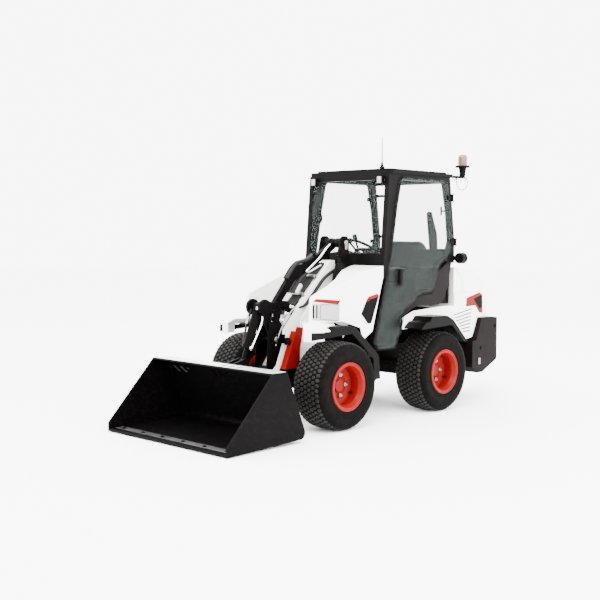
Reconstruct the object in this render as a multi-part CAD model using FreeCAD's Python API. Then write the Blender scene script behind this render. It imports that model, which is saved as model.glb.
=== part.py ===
"""Compact articulated wheel loader, written as one STEP file for each piece.

Units are millimetres. The machine looks along -Y, its left side is +X and the ground is z = 0.
Side-view points are given from the foot of the front axle: (rearward, up).
"""
import FreeCAD, Part
import math
import os

V = FreeCAD.Vector
os.makedirs("parts", exist_ok=True)

# ---- driving dimensions ------------------------------------------------------------------------
FRONT_AXLE_Y = -510.0      # places the overall length evenly about the origin
WHEELBASE = 1200.0
PIVOT = 600.0              # articulation pivot, rearward of the front axle
FIT = 0.3                  # static gap between curved faces of different pieces
RUN = 0.05                 # radial clearance of pins in their bores
MOVE = 5.0                 # clearance beside a moving piece

# wheels
TYRE_R = 330.0
TYRE_W = 296.0
TYRE_SIDE_R = 240.0
TYRE_SHOULDER_R = 316.0
TREAD_HALF = 92.0
SHOULDER_HALF = 128.0
BEAD_HALF = 130.0
TRACK_HALF = 461.0
RIM_R = 166.0
RIM_FLANGE_R = 176.0
RIM_FLANGE_T = 10.0
RIM_WALL = 9.0
DISC_T = 12.0
DISC_OUT = 20.0            # disc face, outward of the wheel centre
HUB_R = 62.0
HUB_BOSS_R = 46.0
HUB_BOSS_T = 26.0
AXLE_Z = TYRE_R
AXLE_R = 58.0

# frame and boom tower
RAIL_IN = 98.0
RAIL_T = 14.0
RAIL_OUT = RAIL_IN + RAIL_T
FRAME_BOTTOM = AXLE_Z + AXLE_R
BELLY_T = 12.0
PIN_R = 20.0
BOSS_R = 38.0
EYE_R = 34.0
BOOM_PIVOT = (447.0, 1141.0)
LEVEL_ARM = (53.0, 244.0)      # from boom pivot to levelling link pin, and the same on the rocker
LINK_PIVOT = (BOOM_PIVOT[0] + LEVEL_ARM[0], BOOM_PIVOT[1] + LEVEL_ARM[1])
ROCKER_PIVOT = (-240.0, 661.0)
ROCKER_TOP = (ROCKER_PIVOT[0] + LEVEL_ARM[0], ROCKER_PIVOT[1] + LEVEL_ARM[1])
TILT_ARM = (-110.0, 245.0)     # from rocker pivot to cylinder pin, and the same on the hitch
TILT_TOP = (ROCKER_PIVOT[0] + TILT_ARM[0], ROCKER_PIVOT[1] + TILT_ARM[1])
NOSE_PIN = (-400.0, 255.0)
TILT_EYE = (NOSE_PIN[0] + TILT_ARM[0], NOSE_PIN[1] + TILT_ARM[1])
LIFT_BASE = (300.0, 452.0)
LIFT_EYE_ALONG = 150.0         # rod eye from the boom pivot, along the boom line
LIFT_EYE_BELOW = 110.0
EYE_ARC = 52.0                 # room over the rod eye for its swing under the boom
BOOM_HALF = 60.0
BOOM_WALL = 12.0

# cylinders
LIFT_BARREL_R = 36.0
LIFT_ROD_R = 20.0
TILT_BARREL_R = 34.0
TILT_ROD_R = 17.0
ROD_GAP = 0.3
EYE_HALF = 22.0
NOSE_DISC_R = 75.0
NOSE_DISC_T = 16.0
TILT_DISC_R = 60.0
TILT_DISC_T = 22.0
ROCKER_IN = 40.0
ROCKER_OUT = 53.0
ROCKER_EAR = ROCKER_OUT + 6.0    # inner face of the boom's ears for the rocker

STEER_X = 150.0                # the steering cylinder runs beside the pivot
STEER_BASE_Y = 190.0
STEER_Z = 344.0
STEER_PIN_R = 14.0
STEER_BARREL_R = 26.0
STEER_ROD_R = 14.0

# bucket
BUCKET_HALF = 650.0
BUCKET_SIDE_T = 12.0
BUCKET_SKIN = 10.0
LIP_Y = -1249.0
LIP_Z = 6.0
HEEL = (-498.0, 29.0)
BACK_TOP = (-699.0, 512.0)
SIDE_TOP = (-833.0, 512.0)
SIDE_NOSE_Z = 69.0
SLOT_TOP = 446.0                # slanted sight slots in the bucket's back, in two groups
SLOT_PITCH = 76.0
SLOT_STARTS = (-600.0, -160.0)
WINDOW_START = 78.0             # square holes in the bucket's top flange

# cab
CAB_HALF = 430.0
SEAL = 2.0
ROOF_HALF = CAB_HALF + 10
ROOF_FRONT = 662.0
ROOF_REAR = 1545.0
ROOF_TOP = 1980.0
ROOF_T = 42.0
POST_W = 42.0
INSIDE_HALF = CAB_HALF - SEAL - POST_W    # half width between the posts
POST_REAR_Y = 1556.0
SCREEN_FOOT = (606.0, 1208.0)
SCREEN_HEAD = (664.0, ROOF_TOP - ROOF_T)
HEADER_Z = ROOF_TOP - 92
REAR_SILL_Z = 1330.0
GLASS_T = 6.0
DOOR_T = 10.0
DECK_Z = 868.0
DECK_T = 16.0
FLOOR_Z = 556.0
SCREEN_PANEL_Z = 1302.0
SCREEN_BACK = 645.0
REAR_WALL = 1540.0

SEAT_Z = 1060.0
HINGE_Z = (1767.0, 1393.0)
HINGE_TOP_Y = 1490.0
HINGE_SLOPE = 0.134

BEACON_AT = (395.0, 1710.0)
BEACON_STEM = 90.0
BEACON_R = 42.0
BEACON_H = 96.0
LEAD_D = 7.0

# front cowl and fenders
COWL_IN = 124.0
COWL_WALL = 8.0
COWL_NOSE_HALF = 345.0
COWL_FULL_Y = 100.0
SHELF_Z = 795.0
SHELF_FRONT = -289.0
SHELF_HALF = 489.0
SHELF_TIP = 410.0              # inner end of the shelf's front face
SHELF_LOW = 672.0
COWL_THROAT = 296.0            # half width of the cowl's opening beside the boom's knee
NOSE_IN = 326.0                # inner side of the cowl's nose
FENDER_IN = CAB_HALF + 2
FENDER_OUT = 606.0
FENDER_OUT_FRONT = 501.0
FENDER_RISE = -86.0            # foot of the wheel cover's front slope
FENDER_TOP = TYRE_R * 2 + 131.0    # crown of the wheel covers, above the tyre
FENDER_T = 8.0
SUPPORT_IN = 116.0
SUPPORT_OUT = 170.0
FENDER_SKIRT = 14.0

# rear frame, hood and counterweight
HOOD_HALF = CAB_HALF - 12
HOOD_GAP = 22.0
# Radius of the hood's front face about the pivot.
HOOD_R = math.hypot(CAB_HALF, REAR_WALL - PIVOT) + HOOD_GAP
SHOULDER_HALF_X = HOOD_HALF + 7
SHOULDER_R = 494.0         # radius that the rear body keeps from the pivot under the deck
UNDER_DECK_Z = 848.0
SEAM_Z = 955.0
WEIGHT_TOP = 726.0
PANEL_T = 10.0
WEIGHT_HALF = CAB_HALF + 40
TOW_R = 16.0                   # tow pin bore, straight down through the weight
TOW_Y = 2200.0
TOW_LOW = 400.0
TOW_HIGH = 690.0
WEIGHT_REAR = 2270.0
NECK_HALF = 92.0
RAIL_TOP = 520.0
HOOD_HINGE = (2104.0, 948.0)
HOOD_PIN_R = 8.0
PIVOT_PIN_R = 28.0
PIVOT_LOW = 270.0
PIVOT_HIGH = 500.0
HITCH_HALF = 330.0
EAR_T = 24.0
EAR_R = 70.0               # round end of the pivot ears, clear of the rear frame's neck


# ---- small helpers -----------------------------------------------------------------------------
def vec(x, side):
    """Point at x and a side-view point."""
    return V(x, FRONT_AXLE_Y + side[0], side[1])


def corner(before, here, after, radius):
    """Tangent points and arc middle of one rounded corner."""
    a = (before - here).normalize()
    b = (after - here).normalize()
    half = a.getAngle(b) / 2.0
    reach = radius / math.tan(half)
    start = here + a * reach
    end = here + b * reach
    middle = here + (a + b).normalize() * (radius / math.sin(half) - radius)
    return start, middle, end


def outline(points):
    """Closed wire through points of (vector, radius); a radius of 0 is a sharp corner."""
    stops = []
    count = len(points)
    for i, (here, radius) in enumerate(points):
        if radius <= 0:
            stops.append((here, None, here))
            continue
        before = points[i - 1][0]
        after = points[(i + 1) % count][0]
        stops.append(corner(V(before), V(here), V(after), radius))
    edges = []
    for i, (start, middle, end) in enumerate(stops):
        if middle is not None:
            edges.append(Part.Arc(start, middle, end).toShape())
        following = stops[(i + 1) % count][0]
        if (following - end).Length > 1e-6:
            edges.append(Part.makeLine(end, following))
    return Part.Wire(edges)


def side_prism(points, x0, x1):
    """Side-view outline pushed from x0 to x1; a point is (rearward, up) or (rearward, up, radius)."""
    ring = [(vec(x0, p), p[2] if len(p) > 2 else 0.0) for p in points]
    return Part.Face(outline(ring)).extrude(V(x1 - x0, 0, 0))


def plan_prism(points, z0, z1):
    """Plan outline pushed from z0 to z1; a point is (x, rearward) or (x, rearward, radius)."""
    ring = [(V(p[0], FRONT_AXLE_Y + p[1], z0), p[2] if len(p) > 2 else 0.0) for p in points]
    return Part.Face(outline(ring)).extrude(V(0, 0, z1 - z0))


def front_prism(points, y0, y1):
    """Front-view outline of (x, z) or (x, z, radius) pushed rearward from y0 to y1."""
    ring = [(V(p[0], FRONT_AXLE_Y + y0, p[1]), p[2] if len(p) > 2 else 0.0) for p in points]
    return Part.Face(outline(ring)).extrude(V(0, y1 - y0, 0))


def block(x0, x1, y0, y1, z0, z1):
    """Box between two corners, with y measured rearward from the front axle."""
    return Part.makeBox(x1 - x0, y1 - y0, z1 - z0, V(x0, FRONT_AXLE_Y + y0, z0))


def rod_x(side, radius, x0, x1):
    """Cylinder along X through a side-view point."""
    return Part.makeCylinder(radius, x1 - x0, vec(x0, side), V(1, 0, 0))


def rod_between(a, b, radius):
    """Cylinder from one point to another."""
    return Part.makeCylinder(radius, (b - a).Length, a, b - a)


def rod_z(x, y, radius, z0, z1):
    """Upright cylinder with y measured rearward from the front axle."""
    return Part.makeCylinder(radius, z1 - z0, V(x, FRONT_AXLE_Y + y, z0), V(0, 0, 1))


def rod_y(x, z, radius, y0, y1):
    """Cylinder along the machine between two places counted from the front axle."""
    return Part.makeCylinder(radius, y1 - y0, V(x, FRONT_AXLE_Y + y0, z), V(0, 1, 0))


def link_plate(a, b, radius, x0, x1):
    """Flat bar with round ends between two side-view points."""
    length = math.hypot(b[0] - a[0], b[1] - a[1])
    nx = -(b[1] - a[1]) / length * radius
    nz = (b[0] - a[0]) / length * radius
    bar = side_prism([(a[0] + nx, a[1] + nz), (b[0] + nx, b[1] + nz),
                      (b[0] - nx, b[1] - nz), (a[0] - nx, a[1] - nz)], x0, x1)
    return fuse([bar, rod_x(a, radius, x0, x1), rod_x(b, radius, x0, x1)])


def fuse(shapes):
    """One solid from overlapping solids."""
    return shapes[0].multiFuse(shapes[1:]).removeSplitter()


def mirror(shape):
    """The same piece on the other side of the machine."""
    return shape.mirror(V(0, 0, 0), V(1, 0, 0))


def both(shape):
    """A piece and its mirror image as two separate solids."""
    return Part.makeCompound([shape, mirror(shape)])


def polar(side, reach, angle):
    """Side-view point at a reach and an angle in degrees from another."""
    return (side[0] + reach * math.cos(math.radians(angle)), side[1] + reach * math.sin(math.radians(angle)))


def direction(a, b):
    """Angle in degrees of the line from one side-view point to another."""
    return math.degrees(math.atan2(b[1] - a[1], b[0] - a[0]))


def along(a, b, reach, offset):
    """Point at a reach along the line a-b and an offset to its left."""
    angle = direction(a, b)
    return polar(polar(a, reach, angle), offset, angle + 90.0)


def save(name, shape):
    """Writes one piece."""
    if not shape.isValid():
        print("NOT VALID", name)
    print(f"{name:22s} solids {len(shape.Solids)} volume {shape.Volume / 1e6:9.3f} l")
    shape.exportStep(f"parts/{name}.step")


# ---- wheels ------------------------------------------------------------------------------------
def wheel_tyre(x, y):
    """Tyre ring centred on x, its rounded section kept to a few flats."""
    half = TYRE_W / 2.0
    bead_r = RIM_R + FIT
    bead = BEAD_HALF - FIT
    over = RIM_FLANGE_R + 4.0
    section = [(bead_r, -bead), (over, -bead), (TYRE_SIDE_R, -half), (TYRE_SHOULDER_R, -SHOULDER_HALF),
               (TYRE_R, -TREAD_HALF), (TYRE_R, TREAD_HALF), (TYRE_SHOULDER_R, SHOULDER_HALF), (TYRE_SIDE_R, half),
               (over, bead), (bead_r, bead)]
    ring = [V(x + w, FRONT_AXLE_Y + y, AXLE_Z + r) for r, w in section]
    face = Part.Face(Part.makePolygon(ring + ring[:1]))
    return face.revolve(V(0, FRONT_AXLE_Y + y, AXLE_Z), V(1, 0, 0), 360)


def wheel_rim(side, y):
    """Dished rim: two flanges, a barrel and a disc with a hub boss, for side +1 or -1."""
    outer = BEAD_HALF + RIM_FLANGE_T
    inner_r = RIM_R - RIM_WALL
    section = [(0, DISC_OUT - DISC_T), (HUB_R + 30, DISC_OUT - DISC_T), (inner_r, DISC_OUT - DISC_T - 26),
               (inner_r, -outer), (RIM_FLANGE_R, -outer), (RIM_FLANGE_R, -BEAD_HALF), (RIM_R, -BEAD_HALF),
               (RIM_R, BEAD_HALF), (RIM_FLANGE_R, BEAD_HALF), (RIM_FLANGE_R, outer), (inner_r, outer),
               (inner_r - 16, outer - 34), (inner_r - 16, DISC_OUT + 14), (HUB_R + 34, DISC_OUT),
               (HUB_BOSS_R, DISC_OUT), (HUB_BOSS_R, DISC_OUT + HUB_BOSS_T), (0, DISC_OUT + HUB_BOSS_T)]
    ring = [V(side * (TRACK_HALF + w), FRONT_AXLE_Y + y, AXLE_Z + r) for r, w in section]
    face = Part.Face(Part.makePolygon(ring + ring[:1]))
    return face.revolve(V(0, FRONT_AXLE_Y + y, AXLE_Z), V(1, 0, 0), 360)


def axle(y, seat_half):
    """Axle beam with a square centre housing and hub flanges that meet the wheel discs."""
    hub_face = TRACK_HALF + DISC_OUT - DISC_T - FIT
    beam = rod_x((y, AXLE_Z), AXLE_R - 8.0, -hub_face + 10, hub_face - 10)
    hubs = [rod_x((y, AXLE_Z), HUB_R, s * hub_face if s < 0 else hub_face - 60,
                  s * hub_face + 60 if s < 0 else hub_face)
            for s in (-1, 1)]
    centre = block(-seat_half, seat_half, y - AXLE_R, y + AXLE_R, AXLE_Z - AXLE_R, AXLE_Z + AXLE_R)
    return fuse([beam, centre] + hubs)


def wheels():
    """Save the tyres, rims and axles."""
    for name, y in (("front", 0.0), ("rear", WHEELBASE)):
        for word, side in (("left", 1), ("right", -1)):
            save(f"tyre_{name}_{word}", wheel_tyre(side * TRACK_HALF, y))
            save(f"rim_{name}_{word}", wheel_rim(side, y))
    save("front_axle", axle(0.0, RAIL_OUT + 40.0))
    save("rear_axle", axle(WHEELBASE, NECK_HALF + 40.0))


# ---- front frame -------------------------------------------------------------------------------
def steer_mount():
    """Forked bracket with the pin that holds the steering cylinder's barrel."""
    y0 = STEER_BASE_Y - 34
    y1 = STEER_BASE_Y + 34
    low = STEER_Z - EYE_HALF - MOVE
    high = STEER_Z + EYE_HALF + MOVE
    fork = [block(RAIL_IN, STEER_X + 30, y0, y1, low - 12, low),
            block(RAIL_IN, STEER_X + 30, y0, y1, high, high + 12)]
    wall = block(RAIL_IN, RAIL_OUT, y0, y1, low - 12, FRAME_BOTTOM + BELLY_T)
    return fuse(fork + [wall, rod_z(STEER_X, STEER_BASE_Y, STEER_PIN_R, low - 18, high + 16)])


def front_frame():
    """Two side plates with the boom tower, a belly plate and the forked ears of the pivot."""
    plate = side_prism([(-150, FRAME_BOTTOM), (520, FRAME_BOTTOM), (520, 900), (560, 1150, 40),
                        (545, 1440, 40), (455, 1440, 40), (390, 1180, 60), (300, 900, 60), (150, 700, 60),
                        (-60, 640, 40), (-150, 560, 30)], RAIL_IN, RAIL_OUT)
    plates = [plate, mirror(plate)]
    belly = block(-RAIL_OUT, RAIL_OUT, -150, 540, FRAME_BOTTOM, FRAME_BOTTOM + BELLY_T)
    back = block(-RAIL_OUT, RAIL_OUT, 508, 522, FRAME_BOTTOM, 900)
    pins = [rod_x(p, PIN_R, -RAIL_OUT - 12, RAIL_OUT + 12) for p in (BOOM_PIVOT, LINK_PIVOT, LIFT_BASE)]
    bosses = []
    for p, inner in ((BOOM_PIVOT, BOOM_HALF), (LINK_PIVOT, EYE_HALF), (LIFT_BASE, EYE_HALF)):
        boss = rod_x(p, BOSS_R, inner + MOVE, RAIL_IN)
        bosses += [boss, mirror(boss)]
    ears = []
    for z in (PIVOT_LOW, PIVOT_HIGH - EAR_T):
        ears.append(plan_prism([(-RAIL_OUT, 500), (RAIL_OUT, 500), (EAR_R, PIVOT), (-EAR_R, PIVOT)], z,
                               z + EAR_T))
        ears.append(rod_z(0, PIVOT, EAR_R, z, z + EAR_T))
    web = block(-RAIL_OUT + 4, 36, 506, 524, PIVOT_LOW + 4, PIVOT_HIGH + 6)
    steer = steer_mount()
    pin = rod_z(0, PIVOT, PIVOT_PIN_R, PIVOT_LOW - 12, PIVOT_HIGH + 12)
    outrig = block(-INSIDE_HALF, INSIDE_HALF, 474, 560, 490, FLOOR_Z - DECK_T)
    return fuse(plates + [belly, back, web, pin, outrig, steer] + pins + bosses + ears)


# ---- boom and its linkage ----------------------------------------------------------------------
def lift_eye():
    """Where the lift cylinder's rod holds the boom."""
    angle = direction(BOOM_PIVOT, ROCKER_PIVOT)
    return polar(polar(BOOM_PIVOT, LIFT_EYE_ALONG, angle), LIFT_EYE_BELOW, angle + 90.0)


def boom():
    """Welded boom, tapered from the tower to the knee, then turned down to the forked nose."""
    body = side_prism([(388, 1250, 50), (520, 1235, 70), (545, 1090, 60), (470, 1050, 60), (330, 1020, 60),
                       (120, 850, 80), (-70, 600, 120), (-330, 205, 50), (-455, 205, 48), (-430, 320, 40),
                       (-290, 470, 60), (-172, 640, 20), (-150, 752, 30)], -BOOM_HALF, BOOM_HALF)
    slot = BOOM_HALF - BOOM_WALL
    mouth = side_prism([(-520, 150), (-220, 150), (-220, 327), (-300, 332), (-400, 440), (-520, 440)], -slot,
                       slot)
    eye = lift_eye()
    body = body.cut(mouth).cut(rod_x(eye, EYE_R + EYE_ARC, -EYE_HALF - MOVE, EYE_HALF + MOVE))
    ears = []
    for side in (-1, 1):
        x0 = ROCKER_EAR if side > 0 else -ROCKER_EAR - BOOM_WALL
        ears.append(link_plate((-140, 655), ROCKER_PIVOT, 32, x0, x0 + BOOM_WALL))
        x1 = side * (EYE_HALF + MOVE + 7.0) - 7.0
        ears.append(side_prism([(380, 1060), (230, 935), (eye[0] - 30, eye[1] - 26, 20),
                                (eye[0] + 34, eye[1] - 18, 20)], x1, x1 + 14))
    body = fuse([body] + ears)
    for p in (BOOM_PIVOT, ROCKER_PIVOT, NOSE_PIN):
        body = body.cut(rod_x(p, PIN_R + RUN, -BOOM_HALF - 14, BOOM_HALF + 14))
    return body


def levelling_link():
    """Cranked link from the tower over the boom to the rocker."""
    half = EYE_HALF - 2.0
    bar = side_prism([(500, 1410), (330, 1318, 40), (120, 1222, 60), (60, 1216, 40), (-10, 1160, 40),
                      (-200, 935),
                      (-175, 880), (10, 1085, 60), (110, 1150, 60), (340, 1250, 60),
                      (500, 1352)], -half, half)
    eyes = [rod_x(LINK_PIVOT, EYE_R, -EYE_HALF, EYE_HALF), rod_x(ROCKER_TOP, EYE_R, -EYE_HALF, EYE_HALF)]
    link = fuse([bar] + eyes)
    for p in (LINK_PIVOT, ROCKER_TOP):
        link = link.cut(rod_x(p, PIN_R + RUN, -EYE_HALF - 1, EYE_HALF + 1))
    return link


def rocker():
    """Pair of three-cornered plates with the pins that join boom, levelling link and tilt cylinder."""
    x0 = ROCKER_IN
    x1 = ROCKER_OUT
    plates = []
    for side in (-1, 1):
        lo = min(side * x0, side * x1)
        hi = max(side * x0, side * x1)
        legs = [link_plate(ROCKER_PIVOT, ROCKER_TOP, EYE_R, lo, hi),
                link_plate(ROCKER_PIVOT, TILT_TOP, EYE_R, lo, hi),
                link_plate(ROCKER_TOP, TILT_TOP, EYE_R, lo, hi)]
        plate = fuse(legs)
        plates.append(plate.cut(rod_x(TILT_TOP, PIN_R + RUN, lo - 1, hi + 1)))
    pivot = rod_x(ROCKER_PIVOT, PIN_R, -ROCKER_EAR - 20, ROCKER_EAR + 20)
    spacer = rod_x(ROCKER_PIVOT, EYE_R - 4, -x0, x0)
    top = rod_x(ROCKER_TOP, PIN_R, -x1 - 8, x1 + 8)
    return fuse(plates + [pivot, spacer, top])


def headed_pin(side, half, head, head_r=None):
    """Pin along X with a head at each end, clear of what it passes through."""
    wide = head_r or PIN_R + 7
    near = half + FIT
    far = near + head
    heads = [rod_x(side, wide, near, far), rod_x(side, wide, -far, -near)]
    return fuse([rod_x(side, PIN_R, -far, far)] + heads)


def barrel(a, b, radius, length, rod_radius, eye_half):
    """Cylinder barrel from its eye at a towards b, bored for the rod."""
    angle = direction(a, b)
    far = polar(a, length, angle)
    near = polar(a, BOSS_R + MOVE, angle)
    tube = rod_between(vec(0, near), vec(0, far), radius)
    gland = rod_between(vec(0, polar(a, length - 26.0, angle)), vec(0, far), radius + 5.0)
    eye = link_plate(a, polar(a, 20.0, angle), EYE_R - 3.0, -EYE_HALF, EYE_HALF)
    eye = fuse([eye, rod_x(a, EYE_R - 3.0, -eye_half, eye_half)])
    bore = rod_between(vec(0, polar(a, BOSS_R + MOVE + 8.0, angle)), vec(0, polar(a, length + 1, angle)),
                       rod_radius + ROD_GAP)
    solid = fuse([tube, gland, eye]).cut(bore)
    return solid.cut(rod_x(a, PIN_R + RUN, -eye_half - 1, eye_half + 1))


def rod(a, b, radius, inside, eye_half, pin_half):
    """Piston rod from a point inside the barrel at a to its eye at b, with a short pin."""
    angle = direction(a, b)
    shaft = rod_between(vec(0, polar(a, inside, angle)), vec(0, b), radius)
    return fuse([shaft, rod_x(b, EYE_R - 4, -eye_half, eye_half), rod_x(b, PIN_R - 4, -pin_half, pin_half)])


def reach(a, b):
    """Distance between two side-view points."""
    return math.hypot(b[0] - a[0], b[1] - a[1])


def linkage():
    """Save the boom, its linkage, pins and cylinders."""
    save("boom", boom())
    save("levelling_link", levelling_link())
    save("rocker", rocker())
    save("tilt_pin", headed_pin(TILT_TOP, ROCKER_OUT, TILT_DISC_T, TILT_DISC_R))
    save("nose_pin", headed_pin(NOSE_PIN, BOOM_HALF, NOSE_DISC_T, NOSE_DISC_R))
    tilt_rest = reach(TILT_TOP, TILT_EYE)
    save("tilt_barrel", barrel(TILT_TOP, TILT_EYE, TILT_BARREL_R, tilt_rest - 114, TILT_ROD_R, EYE_HALF + 12))
    save("tilt_rod", rod(TILT_TOP, TILT_EYE, TILT_ROD_R, 130, EYE_HALF, EYE_HALF + 4))
    eye = lift_eye()
    save("lift_barrel", barrel(LIFT_BASE, eye, LIFT_BARREL_R, reach(LIFT_BASE, eye) - 60, LIFT_ROD_R,
                               EYE_HALF))
    save("lift_rod", rod(LIFT_BASE, eye, LIFT_ROD_R, 60, EYE_HALF, EYE_HALF + 4))
    steering_cylinder()


def steering_cylinder():
    """Barrel and rod that turn the rear frame about the pivot."""
    base = V(STEER_X, FRONT_AXLE_Y + STEER_BASE_Y, STEER_Z)
    tip = V(STEER_X, FRONT_AXLE_Y + PIVOT, STEER_Z)
    run = V(0, 1, 0)
    up = V(0, 0, EYE_HALF)
    eye = rod_between(base - up, base + up, EYE_R - 6)
    end = base + run * 262
    tube = rod_between(base + run * 20, end, STEER_BARREL_R)
    gland = rod_between(end - run * 24, end, STEER_BARREL_R + 4)
    bore = rod_between(base + run * 44, end + run, STEER_ROD_R + ROD_GAP)
    hole = rod_between(base - up * 2, base + up * 2, STEER_PIN_R + RUN)
    save("steer_barrel", fuse([eye, tube, gland]).cut(bore).cut(hole))
    shaft = rod_between(base + run * 146, tip, STEER_ROD_R)
    ring = rod_between(tip - up, tip + up, EYE_R - 6)
    pin = rod_between(tip - up - V(0, 0, 4), tip + up + V(0, 0, 4), STEER_PIN_R)
    save("steer_rod", fuse([shaft, ring, pin]))


# ---- hitch and bucket --------------------------------------------------------------------------
def beside(place, along, up):
    """Side-view point a distance away from another."""
    return (place[0] + along, place[1] + up)


def hitch():
    """Quick hitch: a frame against the bucket's back with ears for the nose pin and the cylinder."""
    lean = direction(HEEL, BACK_TOP)
    foot = polar(HEEL, 40, lean)
    head = polar(HEEL, 505, lean)
    plate_t = 22.0
    face = side_prism([foot, head, polar(head, plate_t, lean - 90), polar(foot, plate_t, lean - 90)],
                      -HITCH_HALF, HITCH_HALF)
    low = polar(HEEL, 150, lean)
    high = polar(HEEL, 380, lean)
    window = side_prism([polar(low, -5, lean - 90), polar(high, -5, lean - 90), polar(high, 40, lean - 90),
                         polar(low, 40, lean - 90)], 90, HITCH_HALF - 50)
    face = face.cut(window).cut(mirror(window))
    ears = []
    for side in (-1, 1):
        lo = EYE_HALF + MOVE if side > 0 else -EYE_HALF - MOVE - 14
        ear = side_prism([foot, head, beside(TILT_EYE, 10, 38) + (20,), beside(TILT_EYE, 34, 10) + (20,),
                          beside(TILT_EYE, 26, -38), beside(NOSE_PIN, -84, 108) + (15,),
                          beside(NOSE_PIN, 25, 75) + (20,), beside(NOSE_PIN, 45, 20) + (25,),
                          beside(NOSE_PIN, 20, -45) + (25,)], lo, lo + 14)
        ears.append(ear)
    boss = rod_x(NOSE_PIN, EYE_R, -BOOM_HALF + BOOM_WALL + MOVE, BOOM_HALF - BOOM_WALL - MOVE)
    body = fuse([face, boss] + ears)
    return body.cut(rod_x(NOSE_PIN, PIN_R + RUN, -BOOM_HALF, BOOM_HALF))


def bucket():
    """Open bucket of bent plate with side plates, a top flange and a thick cutting edge."""
    inner = BUCKET_HALF - BUCKET_SIDE_T
    side = [(LIP_Y, LIP_Z), (HEEL[0], HEEL[1], 45), BACK_TOP, SIDE_TOP, (LIP_Y, SIDE_NOSE_Z)]
    sides = []
    for x0 in (-BUCKET_HALF, inner):
        sides.append(side_prism(side, x0, x0 + BUCKET_SIDE_T))
    shell = side_prism(side, -inner, inner)
    t = BUCKET_SKIN
    hollow = side_prism([(LIP_Y - 300, LIP_Z + 16), (LIP_Y + 120, LIP_Z + 16 + 3),
                         (HEEL[0] - t - 4, HEEL[1] + t, 36),
                         (BACK_TOP[0] - t, BACK_TOP[1] - t), (SIDE_TOP[0] - 30, SIDE_TOP[1] - t),
                         (SIDE_TOP[0] - 500, SIDE_TOP[1] - t)], -inner, inner)
    body = fuse([shell.cut(hollow)] + sides)
    for x in SLOT_STARTS:
        for k, (run, drop) in enumerate(((60, 40), (70, 40), (22, 14))):
            x0 = x + k * SLOT_PITCH
            body = body.cut(front_prism([(x0, SLOT_TOP), (x0 + 20, SLOT_TOP),
                                         (x0 + 10 + run, SLOT_TOP - drop),
                                         (x0 - 10 + run, SLOT_TOP - drop)], HEEL[0] - 210, HEEL[0] - 130))
    for k in range(3):
        x0 = WINDOW_START + k * SLOT_PITCH
        body = body.cut(block(x0, x0 + 40, FRONT_AXLE_Y + SIDE_TOP[0] + 28, FRONT_AXLE_Y + SIDE_TOP[0] + 86,
                              BACK_TOP[1] - 60, BACK_TOP[1] + 5))
    return body


# ---- cab ---------------------------------------------------------------------------------------
DOOR = [(483, 600, 25), (545, 541, 25), (750, 539, 30), (803, 655, 40), (846, 812, 60), (1085, 964, 60),
        (1252, 967, 50), (1296, 1090, 100), (1345, 1205, 90), (1470, 1252, 60), (1532, 1400, 60),
        (1506, 1640, 100), (1440, 1922, 80), (800, 1922, 70), (742, 1682, 200), (676, 1300, 200),
        (621, 1065, 200)]


def grown(points, distance):
    """Side-view face of an outline, moved outward (or inward if negative) by a distance."""
    wire = outline([(vec(0, p), p[2] if len(p) > 2 else 0.0) for p in points])
    if distance == 0:
        return Part.Face(wire)
    return Part.Face(wire.makeOffset2D(distance))


def at_x(face, x0, x1):
    """A side-view face pushed from x0 to x1."""
    moved = face.copy()
    moved.translate(V(x0, 0, 0))
    return moved.extrude(V(x1 - x0, 0, 0))


def cab_frame():
    """Door rings, posts, headers and the panels below the front and rear glass, all one weldment."""
    inner = INSIDE_HALF
    outer = CAB_HALF - SEAL
    ring = at_x(grown(DOOR, 0), inner, outer).cut(at_x(grown(DOOR, -30), inner - 1, outer + 1))
    front_post = side_prism([(600, 1120), SCREEN_FOOT, SCREEN_HEAD, (815, ROOF_TOP - ROOF_T), (765, 1682),
                             (698, 1300),
                             (640, 1100)], inner, outer)
    rear_post = side_prism([(1400, ROOF_TOP - ROOF_T), (1482, ROOF_TOP - ROOF_T), (POST_REAR_Y, 1408, 60),
                            (POST_REAR_Y, 1215),
                            (1440, 1215), (1500, 1400), (1470, 1640)], inner, outer)
    rail = block(inner, outer, 700, 1470, 1895, ROOF_TOP - ROOF_T)
    side = fuse([ring, front_post, rear_post, rail, hinge_knuckles()])
    panel = side_prism([SCREEN_FOOT, (SCREEN_FOOT[0] + 7, SCREEN_PANEL_Z), (SCREEN_BACK, SCREEN_PANEL_Z),
                        (SCREEN_BACK, 1180), (606, 1180)],
                       -inner, inner)
    header = side_prism([(ROOF_FRONT, HEADER_Z), (ROOF_FRONT, ROOF_TOP - ROOF_T),
                         (ROOF_FRONT + 58, ROOF_TOP - ROOF_T),
                         (ROOF_FRONT + 50, HEADER_Z)], -inner, inner)
    rear_panel = side_prism([(REAR_WALL - 26, DECK_Z), (REAR_WALL, DECK_Z), (1554, REAR_SILL_Z),
                             (1524, REAR_SILL_Z)], -inner, inner)
    rear_header = side_prism([(1448, HEADER_Z), (1440, ROOF_TOP - ROOF_T), (1484, ROOF_TOP - ROOF_T),
                              (1490, HEADER_Z)], -inner, inner)
    return fuse([side, mirror(side), panel, header, rear_panel, rear_header])


def cab_roof():
    """Flat roof panel with rounded corners and a shallow crown."""
    z0 = ROOF_TOP - ROOF_T
    plate = plan_prism([(-ROOF_HALF, ROOF_FRONT, 45), (ROOF_HALF, ROOF_FRONT, 45), (ROOF_HALF, ROOF_REAR, 60),
                        (-ROOF_HALF, ROOF_REAR, 60)], z0, ROOF_TOP - 14)
    crown = plan_prism([(-ROOF_HALF + 40, ROOF_FRONT + 40, 45), (ROOF_HALF - 40, ROOF_FRONT + 40, 45),
                        (ROOF_HALF - 40, ROOF_REAR - 40, 60), (-ROOF_HALF + 40, ROOF_REAR - 40,
                            60)], z0, ROOF_TOP)
    return fuse([plate, crown])


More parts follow.
